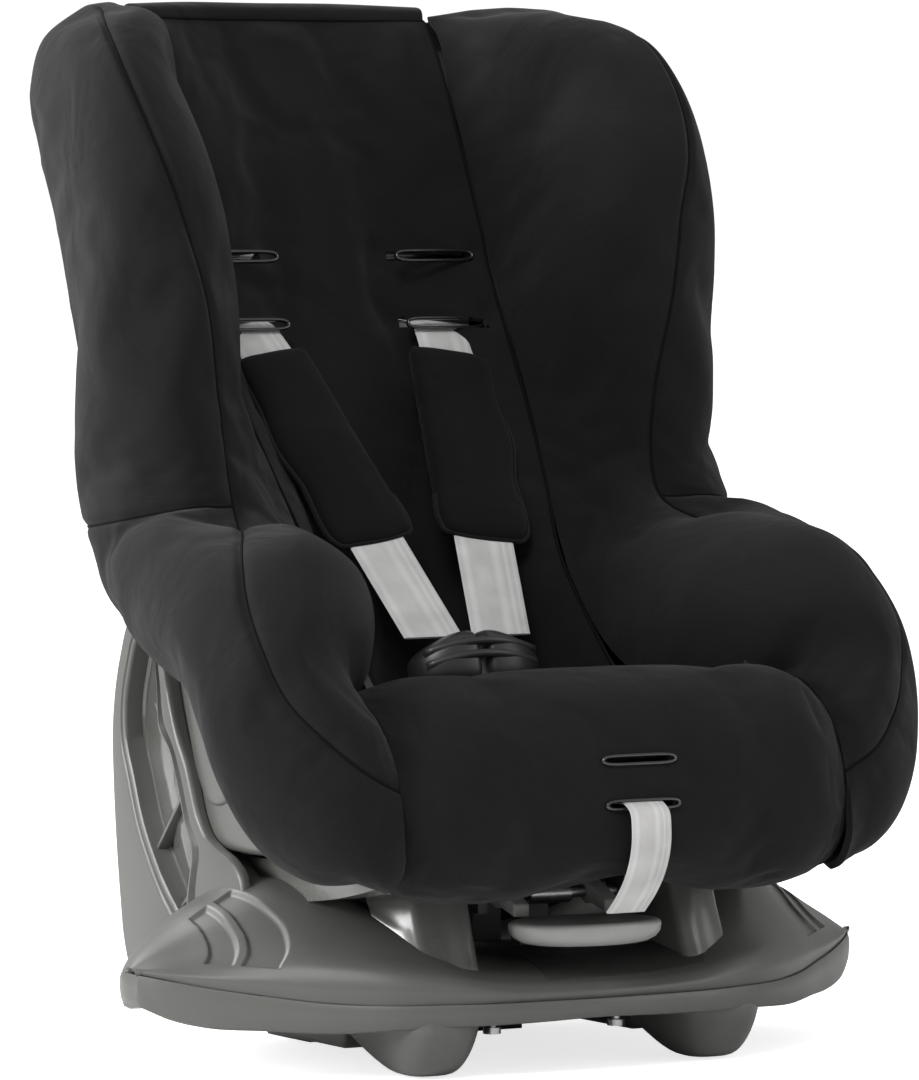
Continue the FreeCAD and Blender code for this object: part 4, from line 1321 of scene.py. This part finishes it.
@dataclass
class Buckle:
    """Harness buckle with its two domed tongues and red button."""

    centre: Point = (0.0, -34.0, 196.0)
    tilt: float = -14.0

    def place(self, x: float, y: float, z: float) -> Vector:
        """A point of the tilted buckle, from its own measures in millimetres."""
        turn = Matrix.Rotation(math.radians(self.tilt), 3, "X")
        return vec(self.centre) + turn @ (Vector((x, y, z)) * MM)

    def tongue(self, side: Side, palette: Palette) -> None:
        """One ribbed tongue shoulder, half of the dome over the buckle."""
        sign = side.value
        rings = []
        for x, low, high, front, rear in ((0.6, 6, 39, -18, 12), (8, 6, 40, -19, 13),
                                          (18, 7, 37, -19, 13), (29, 8, 32, -16, 11),
                                          (37, 10, 27, -11, 8), (41, 14, 22, -5, 4)):
            mid_y, mid_z = (front + rear) / 2, (low + high) / 2
            rings.append([self.place(x * sign, mid_y + (rear - front) / 2 * c,
                                     mid_z + (high - low) / 2 * s)
                          for c, s in oval(20, 0.62, 0.62)])
        piece = tube_of(f"tongue_{side.word}", rings)
        if sign < 0:
            outward(piece)
        apply_modifier(piece, "SUBSURF", levels=2, render_levels=2)
        smooth(piece, 60)
        finish_piece(piece, palette.buckle, "seat", [f"tongue_{side.word}"])

    def build(self, palette: Palette) -> None:
        """Makes the tongues, with two raised ribs over each."""
        for side in Side:
            self.tongue(side, palette)
        for number, (z, out) in enumerate(((24.0, 19.2), (31.5, 18.4))):
            path = [self.place(x, -out + 0.006 * x * x, z - 0.004 * x * x)
                    for x in range(-36, 37, 4)]
            rings = []
            for point in path:
                rings.append([point + Vector((0, math.cos(a) * 1.6, math.sin(a) * 2.4)) * MM
                              for a in (math.tau * k / 8 for k in range(8))])
            rib = tube_of(f"tongue_rib_{number}", rings)
            smooth(rib, 80)
            finish_piece(rib, palette.buckle, "seat")


# ------------------------------------------------------------------ slots in the cloth
@dataclass
class SlotTrim:
    """A glossy moulded frame round a slot, with rounded ends."""

    name: str
    centre: Point
    lean: float
    wide: float
    high: float
    band: float = 2.2

    def build(self, palette: Palette) -> Piece:
        """Makes the frame."""
        turn = Matrix.Rotation(math.radians(self.lean), 3, "X")
        rings = []
        outline = oval(48, 0.35, 0.8)
        half = self.band / 2
        for j in range(10):
            b = math.tau * j / 10
            ring = []
            for c, s in outline:
                x = c * (self.wide / 2 - half + math.cos(b) * half)
                z = s * (self.high / 2 - half + math.cos(b) * half)
                ring.append(vec(self.centre) + turn @ Vector((x, -math.sin(b) * 1.8, z)) * MM)
            rings.append(ring)
        piece = tube_of(self.name, rings + rings[:1], capped=False)
        with edit_mode(piece):
            bpy.ops.mesh.select_all(action="SELECT")
            bpy.ops.mesh.remove_doubles(threshold=1e-6)
            bpy.ops.mesh.normals_make_consistent(inside=False)
        smooth(piece, 80)
        return finish_piece(piece, palette.gloss, "seat")


@dataclass
class SlotTrims:
    """All the harness and adjuster slot frames."""

    def build(self, palette: Palette) -> None:
        """Makes the four back frames and the two front ones."""
        for side in Side:
            for step, (y, z) in enumerate(((113.5, 406), (127.5, 445))):
                SlotTrim(f"back_slot_frame_{side.word}_{step}",
                                     (65 * side.value, y, z), -24, 53, 8.5).build(palette)
        for step, (y, z, lean) in enumerate(((-214, 151, -6), (-209.5, 175, -18))):
            SlotTrim(f"front_slot_frame_{step}", (0, y, z), lean, 48, 7).build(
                palette)
        for side in Side:
            plug = slab(f"slot_plug_{side.word}", [vec((x, 147, z), side.value) for x, z in (
                (40, 441), (90, 441), (90, 449), (40, 449))], vec((0, 3, 0)))
            round_edges(plug, 0.8, 2)
            smooth(plug, 40)
            finish_piece(plug, palette.gloss, "seat")
        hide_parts("back_slot_trims")
        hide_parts("front_slot_trims")


# ------------------------------------------------------------------ base
@dataclass
class BasePlate:
    """Lens-shaped top of the base, with two waved hollows on each end, and its tray."""

    ribs: tuple[tuple[float, ...], ...] = (
        # x, front y, rear y, rim z, slope y and z, crest y and z
        (0, -176, 80, 42, -148, 56, -60, 62), (40, -174, 80, 42, -147, 57, -60, 64),
        (70, -171, 80, 42, -143, 62, -60, 74), (94, -164, 77, 42, -136, 72, -62, 90),
        (118, -155, 72, 42, -122, 80, -60, 101), (150, -135, 62, 43, -104, 83, -54, 104),
        (180, -111, 40, 47, -86, 76, -48, 91), (205, -90, 0, 51, -70, 68, -46, 76),
        (221, -75, -26, 54.5, -62, 62.5, -49, 66), (230, -64, -46, 56.5, -58, 58.5, -54, 59.5),
    )
    waves: tuple[tuple[tuple[Flat, ...], tuple[Flat, ...]], ...] = (
        # outer curve and inner curve of each hollow, from the crest down
        (((191, -50), (192, -66), (194, -78), (196, -82), (200, -85)),
         ((181, -50), (181, -70), (182, -86), (184.5, -92), (189, -96))),
        (((176, -51), (176, -74), (177.5, -92), (180, -97), (185, -100)),
         ((166, -51), (162, -78), (159.5, -102), (163, -110), (170, -114))),
    )
    hollow: float = 2.4
    soft_edge: float = 1.1

    def build(self, palette: Palette) -> None:
        """Makes the top, the tray and what hangs under it."""
        self.top(palette)
        self.tray(palette)

    def section(self, rib: Sequence[float], side: int) -> list[Vector]:
        """One slice of the top, from the front rim to the rear rim."""
        x, front, rear, rim, slope_y, slope_z, crest_y, crest_z = rib
        span = crest_z - rim
        return [vec((x, y, z), side) for y, z in (
            (front + 1.5, rim), (front, rim + 0.12 * span + 1.0),
            (front + 3.5, rim + 0.25 * span + 2.0),
            ((front + slope_y) / 2, rim + (slope_z - rim) * 0.72), (slope_y, slope_z),
            ((slope_y + crest_y) / 2, slope_z + (crest_z - slope_z) * 0.72), (crest_y, crest_z),
            (crest_y * 0.45 + rear * 0.55, crest_z * 0.72 + rim * 0.28),
            (rear - 5, rim + 8 * min(1.0, span / 20)), (rear, rim))]

    def top(self, palette: Palette) -> None:
        """Top cover, drawn slice by slice."""
        control = [self.section(rib, -1) for rib in reversed(self.ribs[1:])]
        control += [self.section(rib, 1) for rib in self.ribs]
        rows = net(control, 10, 14)
        piece = sheet_of("base_plate_top", rows)
        face_away(piece, vec((0, -40, -400)))
        soft = []
        for side in (-1, 1):
            for far, near in self.waves:
                curves = [spline([vec((side * x, y, 0)) for x, y in line], 6)
                          for line in (far, near)]
                loop = curves[0] + curves[1][::-1] + curves[0][:1]
                soft.append([(p.x / MM, p.y / MM) for p in loop])
        for reach in (6.0, 3.0):
            self.refine(piece, soft, reach)
        for corner in piece.data.vertices:
            x, y = corner.co.x / MM, corner.co.y / MM
            if abs(x) < 150 or y > -44 or y < -122:
                continue
            for outline in soft:
                gap = inside_gap(x, y, outline)
                if gap > -self.soft_edge:
                    share = min(1.0, (gap + self.soft_edge) / (2 * self.soft_edge))
                    corner.co.z -= self.hollow * MM * share * share * (3 - 2 * share)
        label = [self.on_top(piece, x, y) for x, y in self.label_plan()]
        line_with(piece, 3.0)
        smooth(piece, 45)
        finish_piece(piece, palette.base, "base", ["base_top_cover"])
        plate = sheet_of("blank_label", [label[i:i + 9] for i in range(0, len(label), 9)])
        face_away(plate, vec((0, 0, -400)))
        line_with(plate, 0.5)
        smooth(plate, 50)
        finish_piece(plate, palette.label, "base")

    @staticmethod
    def refine(piece: Piece, outlines: Sequence[Sequence[Flat]], reach: float) -> None:
        """Divides the faces that lie near the hollows' edges."""
        with edit_mode(piece):
            bpy.ops.mesh.select_mode(type="FACE")
            mesh = bmesh.from_edit_mesh(piece.data)
            for face in mesh.faces:
                x, y, _ = face.calc_center_median() / MM
                face.select = abs(x) > 145 and -125 < y < -40 and any(
                    abs(inside_gap(x, y, outline)) < reach for outline in outlines)
            bmesh.update_edit_mesh(piece.data)
            bpy.ops.mesh.subdivide(number_cuts=1)

    @staticmethod
    def label_plan() -> list[Flat]:
        """Plan points of the plain label on the front slope, nine to a row."""
        near, far = ((-17, -109), (89, -128)), ((-29, -163), (73, -160))
        points = []
        for i in range(7):
            for j in range(9):
                s, t = i / 6, j / 8
                left = [near[0][k] + (far[0][k] - near[0][k]) * s for k in (0, 1)]
                right = [near[1][k] + (far[1][k] - near[1][k]) * s for k in (0, 1)]
                points.append((left[0] + (right[0] - left[0]) * t,
                               left[1] + (right[1] - left[1]) * t))
        return points

    @staticmethod
    def on_top(piece: Piece, x: float, y: float) -> Vector:
        """The point just over the top cover at a plan point."""
        _, place, _, _ = piece.ray_cast(Vector((x * MM, y * MM, 0.3)), Vector((0, 0, -1)))
        return place + Vector((0, 0, 0.6 * MM))

    def tray(self, palette: Palette) -> None:
        """Dish under the parting line, its end skirts and its two runners."""
        half = [(rib[0], rib[1], rib[2], rib[3]) for rib in self.ribs]
        low = {0: 31, 40: 30, 70: 29.5, 94: 29, 118: 28, 150: 26, 180: 27, 205: 28, 221: 32,
               230: 37}
        front = [(x, f, z, low[x]) for x, f, _, z in half]
        rear = [(x, r, z, low[x] + 2) for x, _, r, z in half]
        loop = [(-x, y, z, lo) for x, y, z, lo in reversed(front[1:])] + list(front)
        loop += [(x, y, z, lo) for x, y, z, lo in reversed(rear)]
        loop += [(-x, y, z, lo) for x, y, z, lo in rear[1:]]
        tops = closed([vec((x, y, z)) for x, y, z, _ in loop], 5)
        lows = closed([vec((x, y, lo)) for x, y, _, lo in loop], 5)
        middle = vec((0, -45, 0))
        rings = []
        for share, drop in ((1.0, 0.02), (1.007, 0.15), (1.009, 0.4), (1.004, 0.7), (0.99, 0.93),
                            (0.965, 1.0), (0.9, 1.0)):
            ring = []
            for top, lo in zip(tops, lows):
                reach = Vector((top.x, top.y, 0)) - middle
                flat = middle + reach * (1 - (1 - share) * (0.12 / max(reach.length, 0.05)))
                ring.append(Vector((flat.x, flat.y, top.z + (lo.z - top.z) * drop)))
            rings.append(ring)
        dish = tube_of("base_tray", rings)
        parts = [dish]
        for side in (-1, 1):
            skirt = slab(f"skirt{side}", [vec((x, y, 40), side) for x, y in (
                (148, -102), (168, -98), (192, -78), (196, -40), (190, -4), (150, 2))],
                vec((0, 0, -12)))
            round_edges(skirt, 3.0)
            runner = slab(f"runner{side}", [vec((x, y, 34), side) for x, y in (
                (80, -70), (106, -70), (106, 58), (80, 58))], vec((0, 0, -25)))
            round_edges(runner, 3.0)
            parts += [skirt, runner]
        tray = joined(parts, "base_tray")
        smooth(tray, 35)
        finish_piece(tray, palette.base, "base", ["base_bottom_shell"])


def inside_gap(x: float, y: float, outline: Sequence[Flat]) -> float:
    """How far a flat point lies inside an outline; below zero it is outside."""
    nearest, inside = 1e9, False
    for (ax, ay), (bx, by) in zip(outline, outline[1:]):
        dx, dy = bx - ax, by - ay
        t = max(0.0, min(1.0, ((x - ax) * dx + (y - ay) * dy) / max(dx * dx + dy * dy, 1e-9)))
        nearest = min(nearest, math.hypot(x - ax - t * dx, y - ay - t * dy))
        if (ay > y) != (by > y) and x < (bx - ax) * (y - ay) / (by - ay) + ax:
            inside = not inside
    return nearest if inside else -nearest


@dataclass
class FrontFoot:
    """Fin under the base with a long ramp behind and a steep nose."""

    side: Side
    levels: tuple[tuple[float, float, float, float, float], ...] = (
        # z, x low and high, y front and rear
        (36, 58, 122, -166, -44), (28, 60, 120, -164, -60), (19, 63, 117, -161, -78),
        (11, 67, 113, -157, -94), (5, 71, 109, -152, -107), (1.5, 75, 105, -147, -117),
        (0.2, 81, 99, -141, -126),
    )

    def build(self, palette: Palette) -> None:
        """Makes the foot from rounded levels."""
        rings = []
        for z, low, high, front, rear in self.levels:
            rings.append([vec(((low + high) / 2 + (high - low) / 2 * c,
                               (front + rear) / 2 + (rear - front) / 2 * s, z),
                              self.side.value) for c, s in oval(40, 0.7, 0.75)])
        piece = tube_of(f"foot_{self.side.word}", rings)
        outward(piece)
        apply_modifier(piece, "SUBSURF", levels=1, render_levels=1)
        smooth(piece, 60)
        finish_piece(piece, palette.base, "base",
                     [f"front_foot_{self.side.word}"])


@dataclass
class Upright:
    """Side pod: a thick curved flange round a glossy hollow, with a double bead and ribs."""

    side: Side
    inner: float = 143.5
    lip: float = 158.6
    face: float = 167.5
    deep: float = 12.0
    levels: tuple[tuple[float, ...], ...] = (
        # flange y and z, hollow's edge y and z, inner body y and z
        (52, 247, 48, 240, 54, 247), (68, 243, 57, 232, 66, 243), (80, 222, 66, 213, 78, 222),
        (87, 200, 71, 195, 85, 200), (90, 178, 70, 174, 88, 178), (89, 150, 61, 153, 87, 150),
        (86, 118, 50, 129, 84, 118), (81, 84, 38, 112, 79, 84), (75, 56, 26, 98, 73, 56),
        (60, 31, 14, 86, 58, 32), (10, 34, 6, 80.5, 10, 36), (-48, 44, 3, 82, -40, 46),
        (-62, 84, 3, 86, -44, 84), (-56, 108, 2, 92, -44, 102), (-45, 115, 0, 101, -30, 111),
        (-31, 119.5, -2, 111, -14, 119), (-17, 126, -1, 121, 2, 127), (-8, 137, 4, 131, 12, 137),
        (-2, 151, 9, 145, 20, 151), (4, 165, 14, 158, 28, 165), (12, 178, 20, 171, 35, 178),
        (20, 197, 30, 180, 41, 197), (27, 219, 33, 204, 46, 219), (38, 240, 38, 228, 50, 240))
    profile: tuple[Flat, ...] = (
        # height of the face over the hollow's edge, by distance from the edge
        (11.0, 0.2), (8.6, 0.0), (7.4, -1.0), (6.0, 0.7), (4.7, -0.9), (3.2, 0.9), (1.6, 0.8),
        (0.4, 0.0), (0.0, -1.4))

    def loops(self) -> tuple[list[Vector], list[Vector], list[Vector]]:
        """Matched smooth outlines of the flange, the hollow and the body, all at x = 0."""
        flange, hollow, body = (
            closed([vec((0, row[k], row[k + 1])) for row in self.levels], 6) for k in (0, 2, 4))
        return flange, hollow, body

    def face_height(self, point: Vector) -> float:
        """How far out the flange stands: less along its front edge."""
        forward = max(0.0, min(1.0, (0.03 - point.y) / 0.05))
        return self.face - 3.6 * forward

    def build(self, palette: Palette) -> None:
        """Makes the pod in one skin, then its ribs."""
        sign = self.side.value
        rim, edge, body = self.loops()
        span = [(r - e).length / MM for r, e in zip(rim, edge)]
        middle = sum(edge, Vector()) / len(edge)

        def ring(points: Sequence[Vector], heights: Sequence[float]) -> list[Vector]:
            return [Vector((h * MM * sign, p.y, p.z)) for p, h in zip(points, heights)]

        def inset(by: float) -> list[Vector]:
            return [r.lerp(e, min(0.45, by / gap)) for r, e, gap in zip(rim, edge, span)]

        out = [self.face_height(p) for p in rim]
        flat = len(rim)
        rings = [ring(body, [self.inner] * flat), ring(body, [self.lip - 0.4] * flat),
                 ring(rim, [self.lip] * flat), ring(rim, [h - 3.4 for h in out]),
                 ring(inset(0.5), [h - 1.3 for h in out]), ring(inset(1.6), [h - 0.3 for h in out]),
                 ring(inset(3.4), out)]
        for distance, rise in self.profile:
            points = [e.lerp(r, min(0.5 * distance / 11.0, distance / gap))
                      for r, e, gap in zip(rim, edge, span)]
            rings.append(ring(points, [self.face_height(p) + rise for p in points]))
        low = self.face - self.deep
        rings.append(ring(edge, [low + 1.5] * flat))
        for share, rise in ((0.97, 0.2), (0.85, 0.8), (0.6, 2.6), (0.3, 3.8), (0.05, 4.0)):
            rings.append([Vector(((low + rise) * MM * sign, p.y, p.z)) for p in
                          (middle.lerp(e, share) for e in edge)])
        piece = tube_of(f"upright_{self.side.word}", rings)
        outward(piece)
        smooth(piece, 38)
        finish_piece(piece, palette.base, "base",
                     [f"base_upright_{self.side.word}"])
        piece.data.materials.append(palette.base_gloss)
        for face in piece.data.polygons:
            centre = face.center / MM
            if abs(centre.x) < low + 5.5 and abs(centre.x) > low - 1 and abs(face.normal.x) > 0.7:
                face.material_index = 1
        self.ribs(palette)

    def ribs(self, palette: Palette) -> None:
        """Thin ribs that slant across the hollow."""
        made = []
        low = self.face - self.deep + 1.0
        for number, ((y0, z0), (y1, z1), high) in enumerate((
                ((11, 146), (47, 108), 7.5), ((67, 156), (60, 146), 8.0),
                ((2, 92), (12, 84), 7.5), ((33, 222), (32, 182), 8.0),
                ((34, 180), (46, 196), 6.0))):
            run = Vector((0, y1 - y0, z1 - z0)).normalized()
            wide = Vector((0, -run.z, run.y)) * 1.2
            corners = [(low, y0 + wide.y, z0 + wide.z), (low, y1 + wide.y, z1 + wide.z),
                       (low, y1 - wide.y, z1 - wide.z), (low, y0 - wide.y, z0 - wide.z)]
            rib = slab(f"rib{number}", [vec(c, self.side.value) for c in corners],
                       vec((high, 0, 0), self.side.value))
            round_edges(rib, 0.8, 2)
            made.append(rib)
        piece = joined(made, f"upright_ribs_{self.side.word}")
        smooth(piece, 40)
        finish_piece(piece, palette.base, "base")


@dataclass
class Cradle:
    """Curved front wall of the base on one side of the recline lever."""

    side: Side
    foot: tuple[Point, ...] = ((110, -108, 87), (108, -114, 84), (105, -122, 80),
                               (99.5, -135, 73.5), (96, -140.5, 71), (91, -143.5, 69),
                               (82, -147, 66), (73, -150, 64), (67, -149, 63),
                               (63, -138, 61), (62, -110, 60))
    crown: tuple[Point, ...] = ((109, -98, 101), (107, -103, 101), (104, -110, 101),
                                (99, -123, 101.5), (96, -128, 103),
                                (91, -131.5, 102), (82, -135, 101), (73, -138, 100),
                                (67, -137, 100), (64, -128, 99), (63, -106, 98))

    def build(self, palette: Palette) -> None:
        """Makes the wall, flared where it meets the plate."""
        sign = self.side.value
        foot = spline([vec(p, sign) for p in self.foot], 5)
        crown = spline([vec(p, sign) for p in self.crown], 5)
        rows = []
        for low, high in zip(foot, crown):
            out = Vector((low.x - high.x, low.y - high.y, 0))
            flare = low + out.normalized() * 3.0 * MM - Vector((0, 0, 5 * MM))
            rows.append(spline([flare, low + Vector((0, 0, 1.5 * MM)), low.lerp(high, 0.3),
                                low.lerp(high, 0.65), high], 4))
        piece = sheet_of(f"cradle_wall_{self.side.word}", rows)
        face_away(piece, vec((80, -40, 85), sign))
        line_with(piece, 3.0)
        smooth(piece, 50)
        finish_piece(piece, palette.cradle, "base")


@dataclass
class LeverPull:
    """Recline lever: a rounded pull under the front edge, with its two arms."""

    outline: tuple[Flat, ...] = (
        (-45, -152), (-42, -165), (-33, -175), (-18, -181), (0, -183), (18, -181), (33, -175),
        (42, -165), (45, -152), (41, -139), (30, -130), (14, -126), (-14, -126), (-30, -130),
        (-41, -139))

    def build(self, palette: Palette) -> None:
        """Makes the pull from rounded levels, and its two arms."""
        loop = closed([vec((x, y, 0)) for x, y in self.outline], 4)
        middle = vec((0, -152, 0))
        rings = []
        for z, share in ((70.5, 0.74), (71.5, 0.84), (73.5, 0.93), (76.5, 0.985), (80, 1.0),
                         (81.6, 0.99), (82.7, 0.96), (83.2, 0.9), (82.2, 0.6)):
            rings.append([middle + (p - middle) * share + Vector((0, 0, z * MM)) for p in loop])
        parts = [tube_of("recline_pull", rings)]
        for x in (-34, 24):
            arm = slab("arm", [vec(p) for p in ((x, -134, 84), (x, -119, 88), (x, -112, 87.2),
                                                (x, -105.5, 91), (x, -105.2, 96.5),
                                                (x, -112, 100.5), (x, -119, 98), (x, -134, 91))],
                       vec((10, 0, 0)))
            round_edges(arm, 1.0, 2)
            parts.append(arm)
        piece = joined(parts, "recline_pull")
        smooth(piece, 45)
        finish_piece(piece, palette.lever, "recline_lever", ["recline_lever"])


@dataclass
class SidePanel:
    """Seat's lower side panel with a raised inner field."""

    side: Side
    outer: tuple[Flat, ...] = (
        (42, 246), (42, 214), (34, 190), (25, 164), (14, 141), (3, 127), (-14, 119.5),
        (-40, 117.5), (-70, 118), (-100, 120), (-118, 128), (-110, 150), (-90, 180), (-60, 212),
        (-20, 236), (14, 248))
    raised: tuple[Flat, ...] = (
        (24, 240), (22, 213), (14, 191), (6, 168), (-3, 152), (-11, 144.5), (-22, 142.5),
        (-40, 149), (-60, 158), (-78, 165), (-88, 172), (-88, 182), (-76, 196), (-52, 214),
        (-20, 230), (6, 240))

    def build(self, palette: Palette) -> None:
        """Makes the panel as one skin between its two outlines."""
        sign = self.side.value
        edge = closed([vec((0, y, z)) for y, z in self.outer], 6)
        field_edge = closed([vec((0, y, z)) for y, z in self.raised], 6)
        middle = sum(field_edge, Vector()) / len(field_edge)

        def level(x: float, inset: float) -> list[Vector]:
            ring = []
            for far, near in zip(edge, field_edge):
                share = min(0.9, inset * MM / max((near - far).length, MM))
                ring.append(far.lerp(near, share) + vec((x, 0, 0), sign))
            return ring

        def inner(x: float, share: float) -> list[Vector]:
            return [middle.lerp(near, share) + vec((x, 0, 0), sign) for near in field_edge]

        rings = [level(129, 0), level(151.5, 0), level(154.8, 0.7), level(156.8, 2.2),
                 level(157.6, 4.6), level(157.8, 8), inner(157.9, 1.03), inner(158.0, 1.0),
                 inner(159.4, 0.975), inner(159.8, 0.95), inner(160.0, 0.8), inner(160.2, 0.5),
                 inner(160.3, 0.1)]
        piece = tube_of(f"seat_side_panel_{self.side.word}", rings)
        outward(piece)
        smooth(piece, 40)
        finish_piece(piece, palette.shell, "seat",
                     [f"shell_side_panel_{self.side.word}"])


# ------------------------------------------------------------------ carried-over hard parts
@dataclass
class HardParts:
    """Finishes for the moulded and metal parts whose shape already stands."""

    def build(self, palette: Palette) -> None:
        """Dresses each visible plain node by its place on the seat."""
        for finish, names in (
                (palette.base, "base_bottom_shell base_cross_beam base_rear_panel "
                 "base_top_cover base_upright_left base_upright_right front_foot_left "
                 "front_foot_right"),
                (palette.cradle, "guide_rail_left guide_rail_right"),
                (palette.rubber, "rear_heel"),
                (palette.shell_dark, "recline_rack lever_bracket pawl_guide seat_shell"),
                (palette.shell, "shell_side_panel_left shell_side_panel_right"),
                (palette.steel, "base_screws clamp_pin_left clamp_pin_right lever_pin "
                 "lever_spring strap_yoke lock_pawl"),
                (palette.buckle, "adjuster_housing buckle_housing adjuster_button"),
                (palette.gloss, "rail_glide_left rail_glide_right"),
                (palette.lever, "recline_lever"),
                (palette.red, "buckle_button belt_clamp_left belt_clamp_right")):
            for name in names.split():
                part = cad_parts[name]
                if not part.hide_render:
                    part.data.materials.clear()
                    part.data.materials.append(finish)
                    LOG.info("%s: dressed in %s", name, finish.name)


def main() -> None:
    """Builds the studio and the seat, piece by piece."""
    logging.basicConfig(level=logging.INFO, format="%(name)s: %(message)s")
    Studio().build()
    palette = Palette.mix()
    Upholstery().build(palette)
    Harness().build(palette)
    SlotTrims().build(palette)
    BasePlate().build(palette)
    for side in Side:
        FrontFoot(side).build(palette)
        Upright(side).build(palette)
        Cradle(side).build(palette)
        SidePanel(side).build(palette)
    LeverPull().build(palette)
    HardParts().build(palette)


if __name__ == "__main__":
    main()
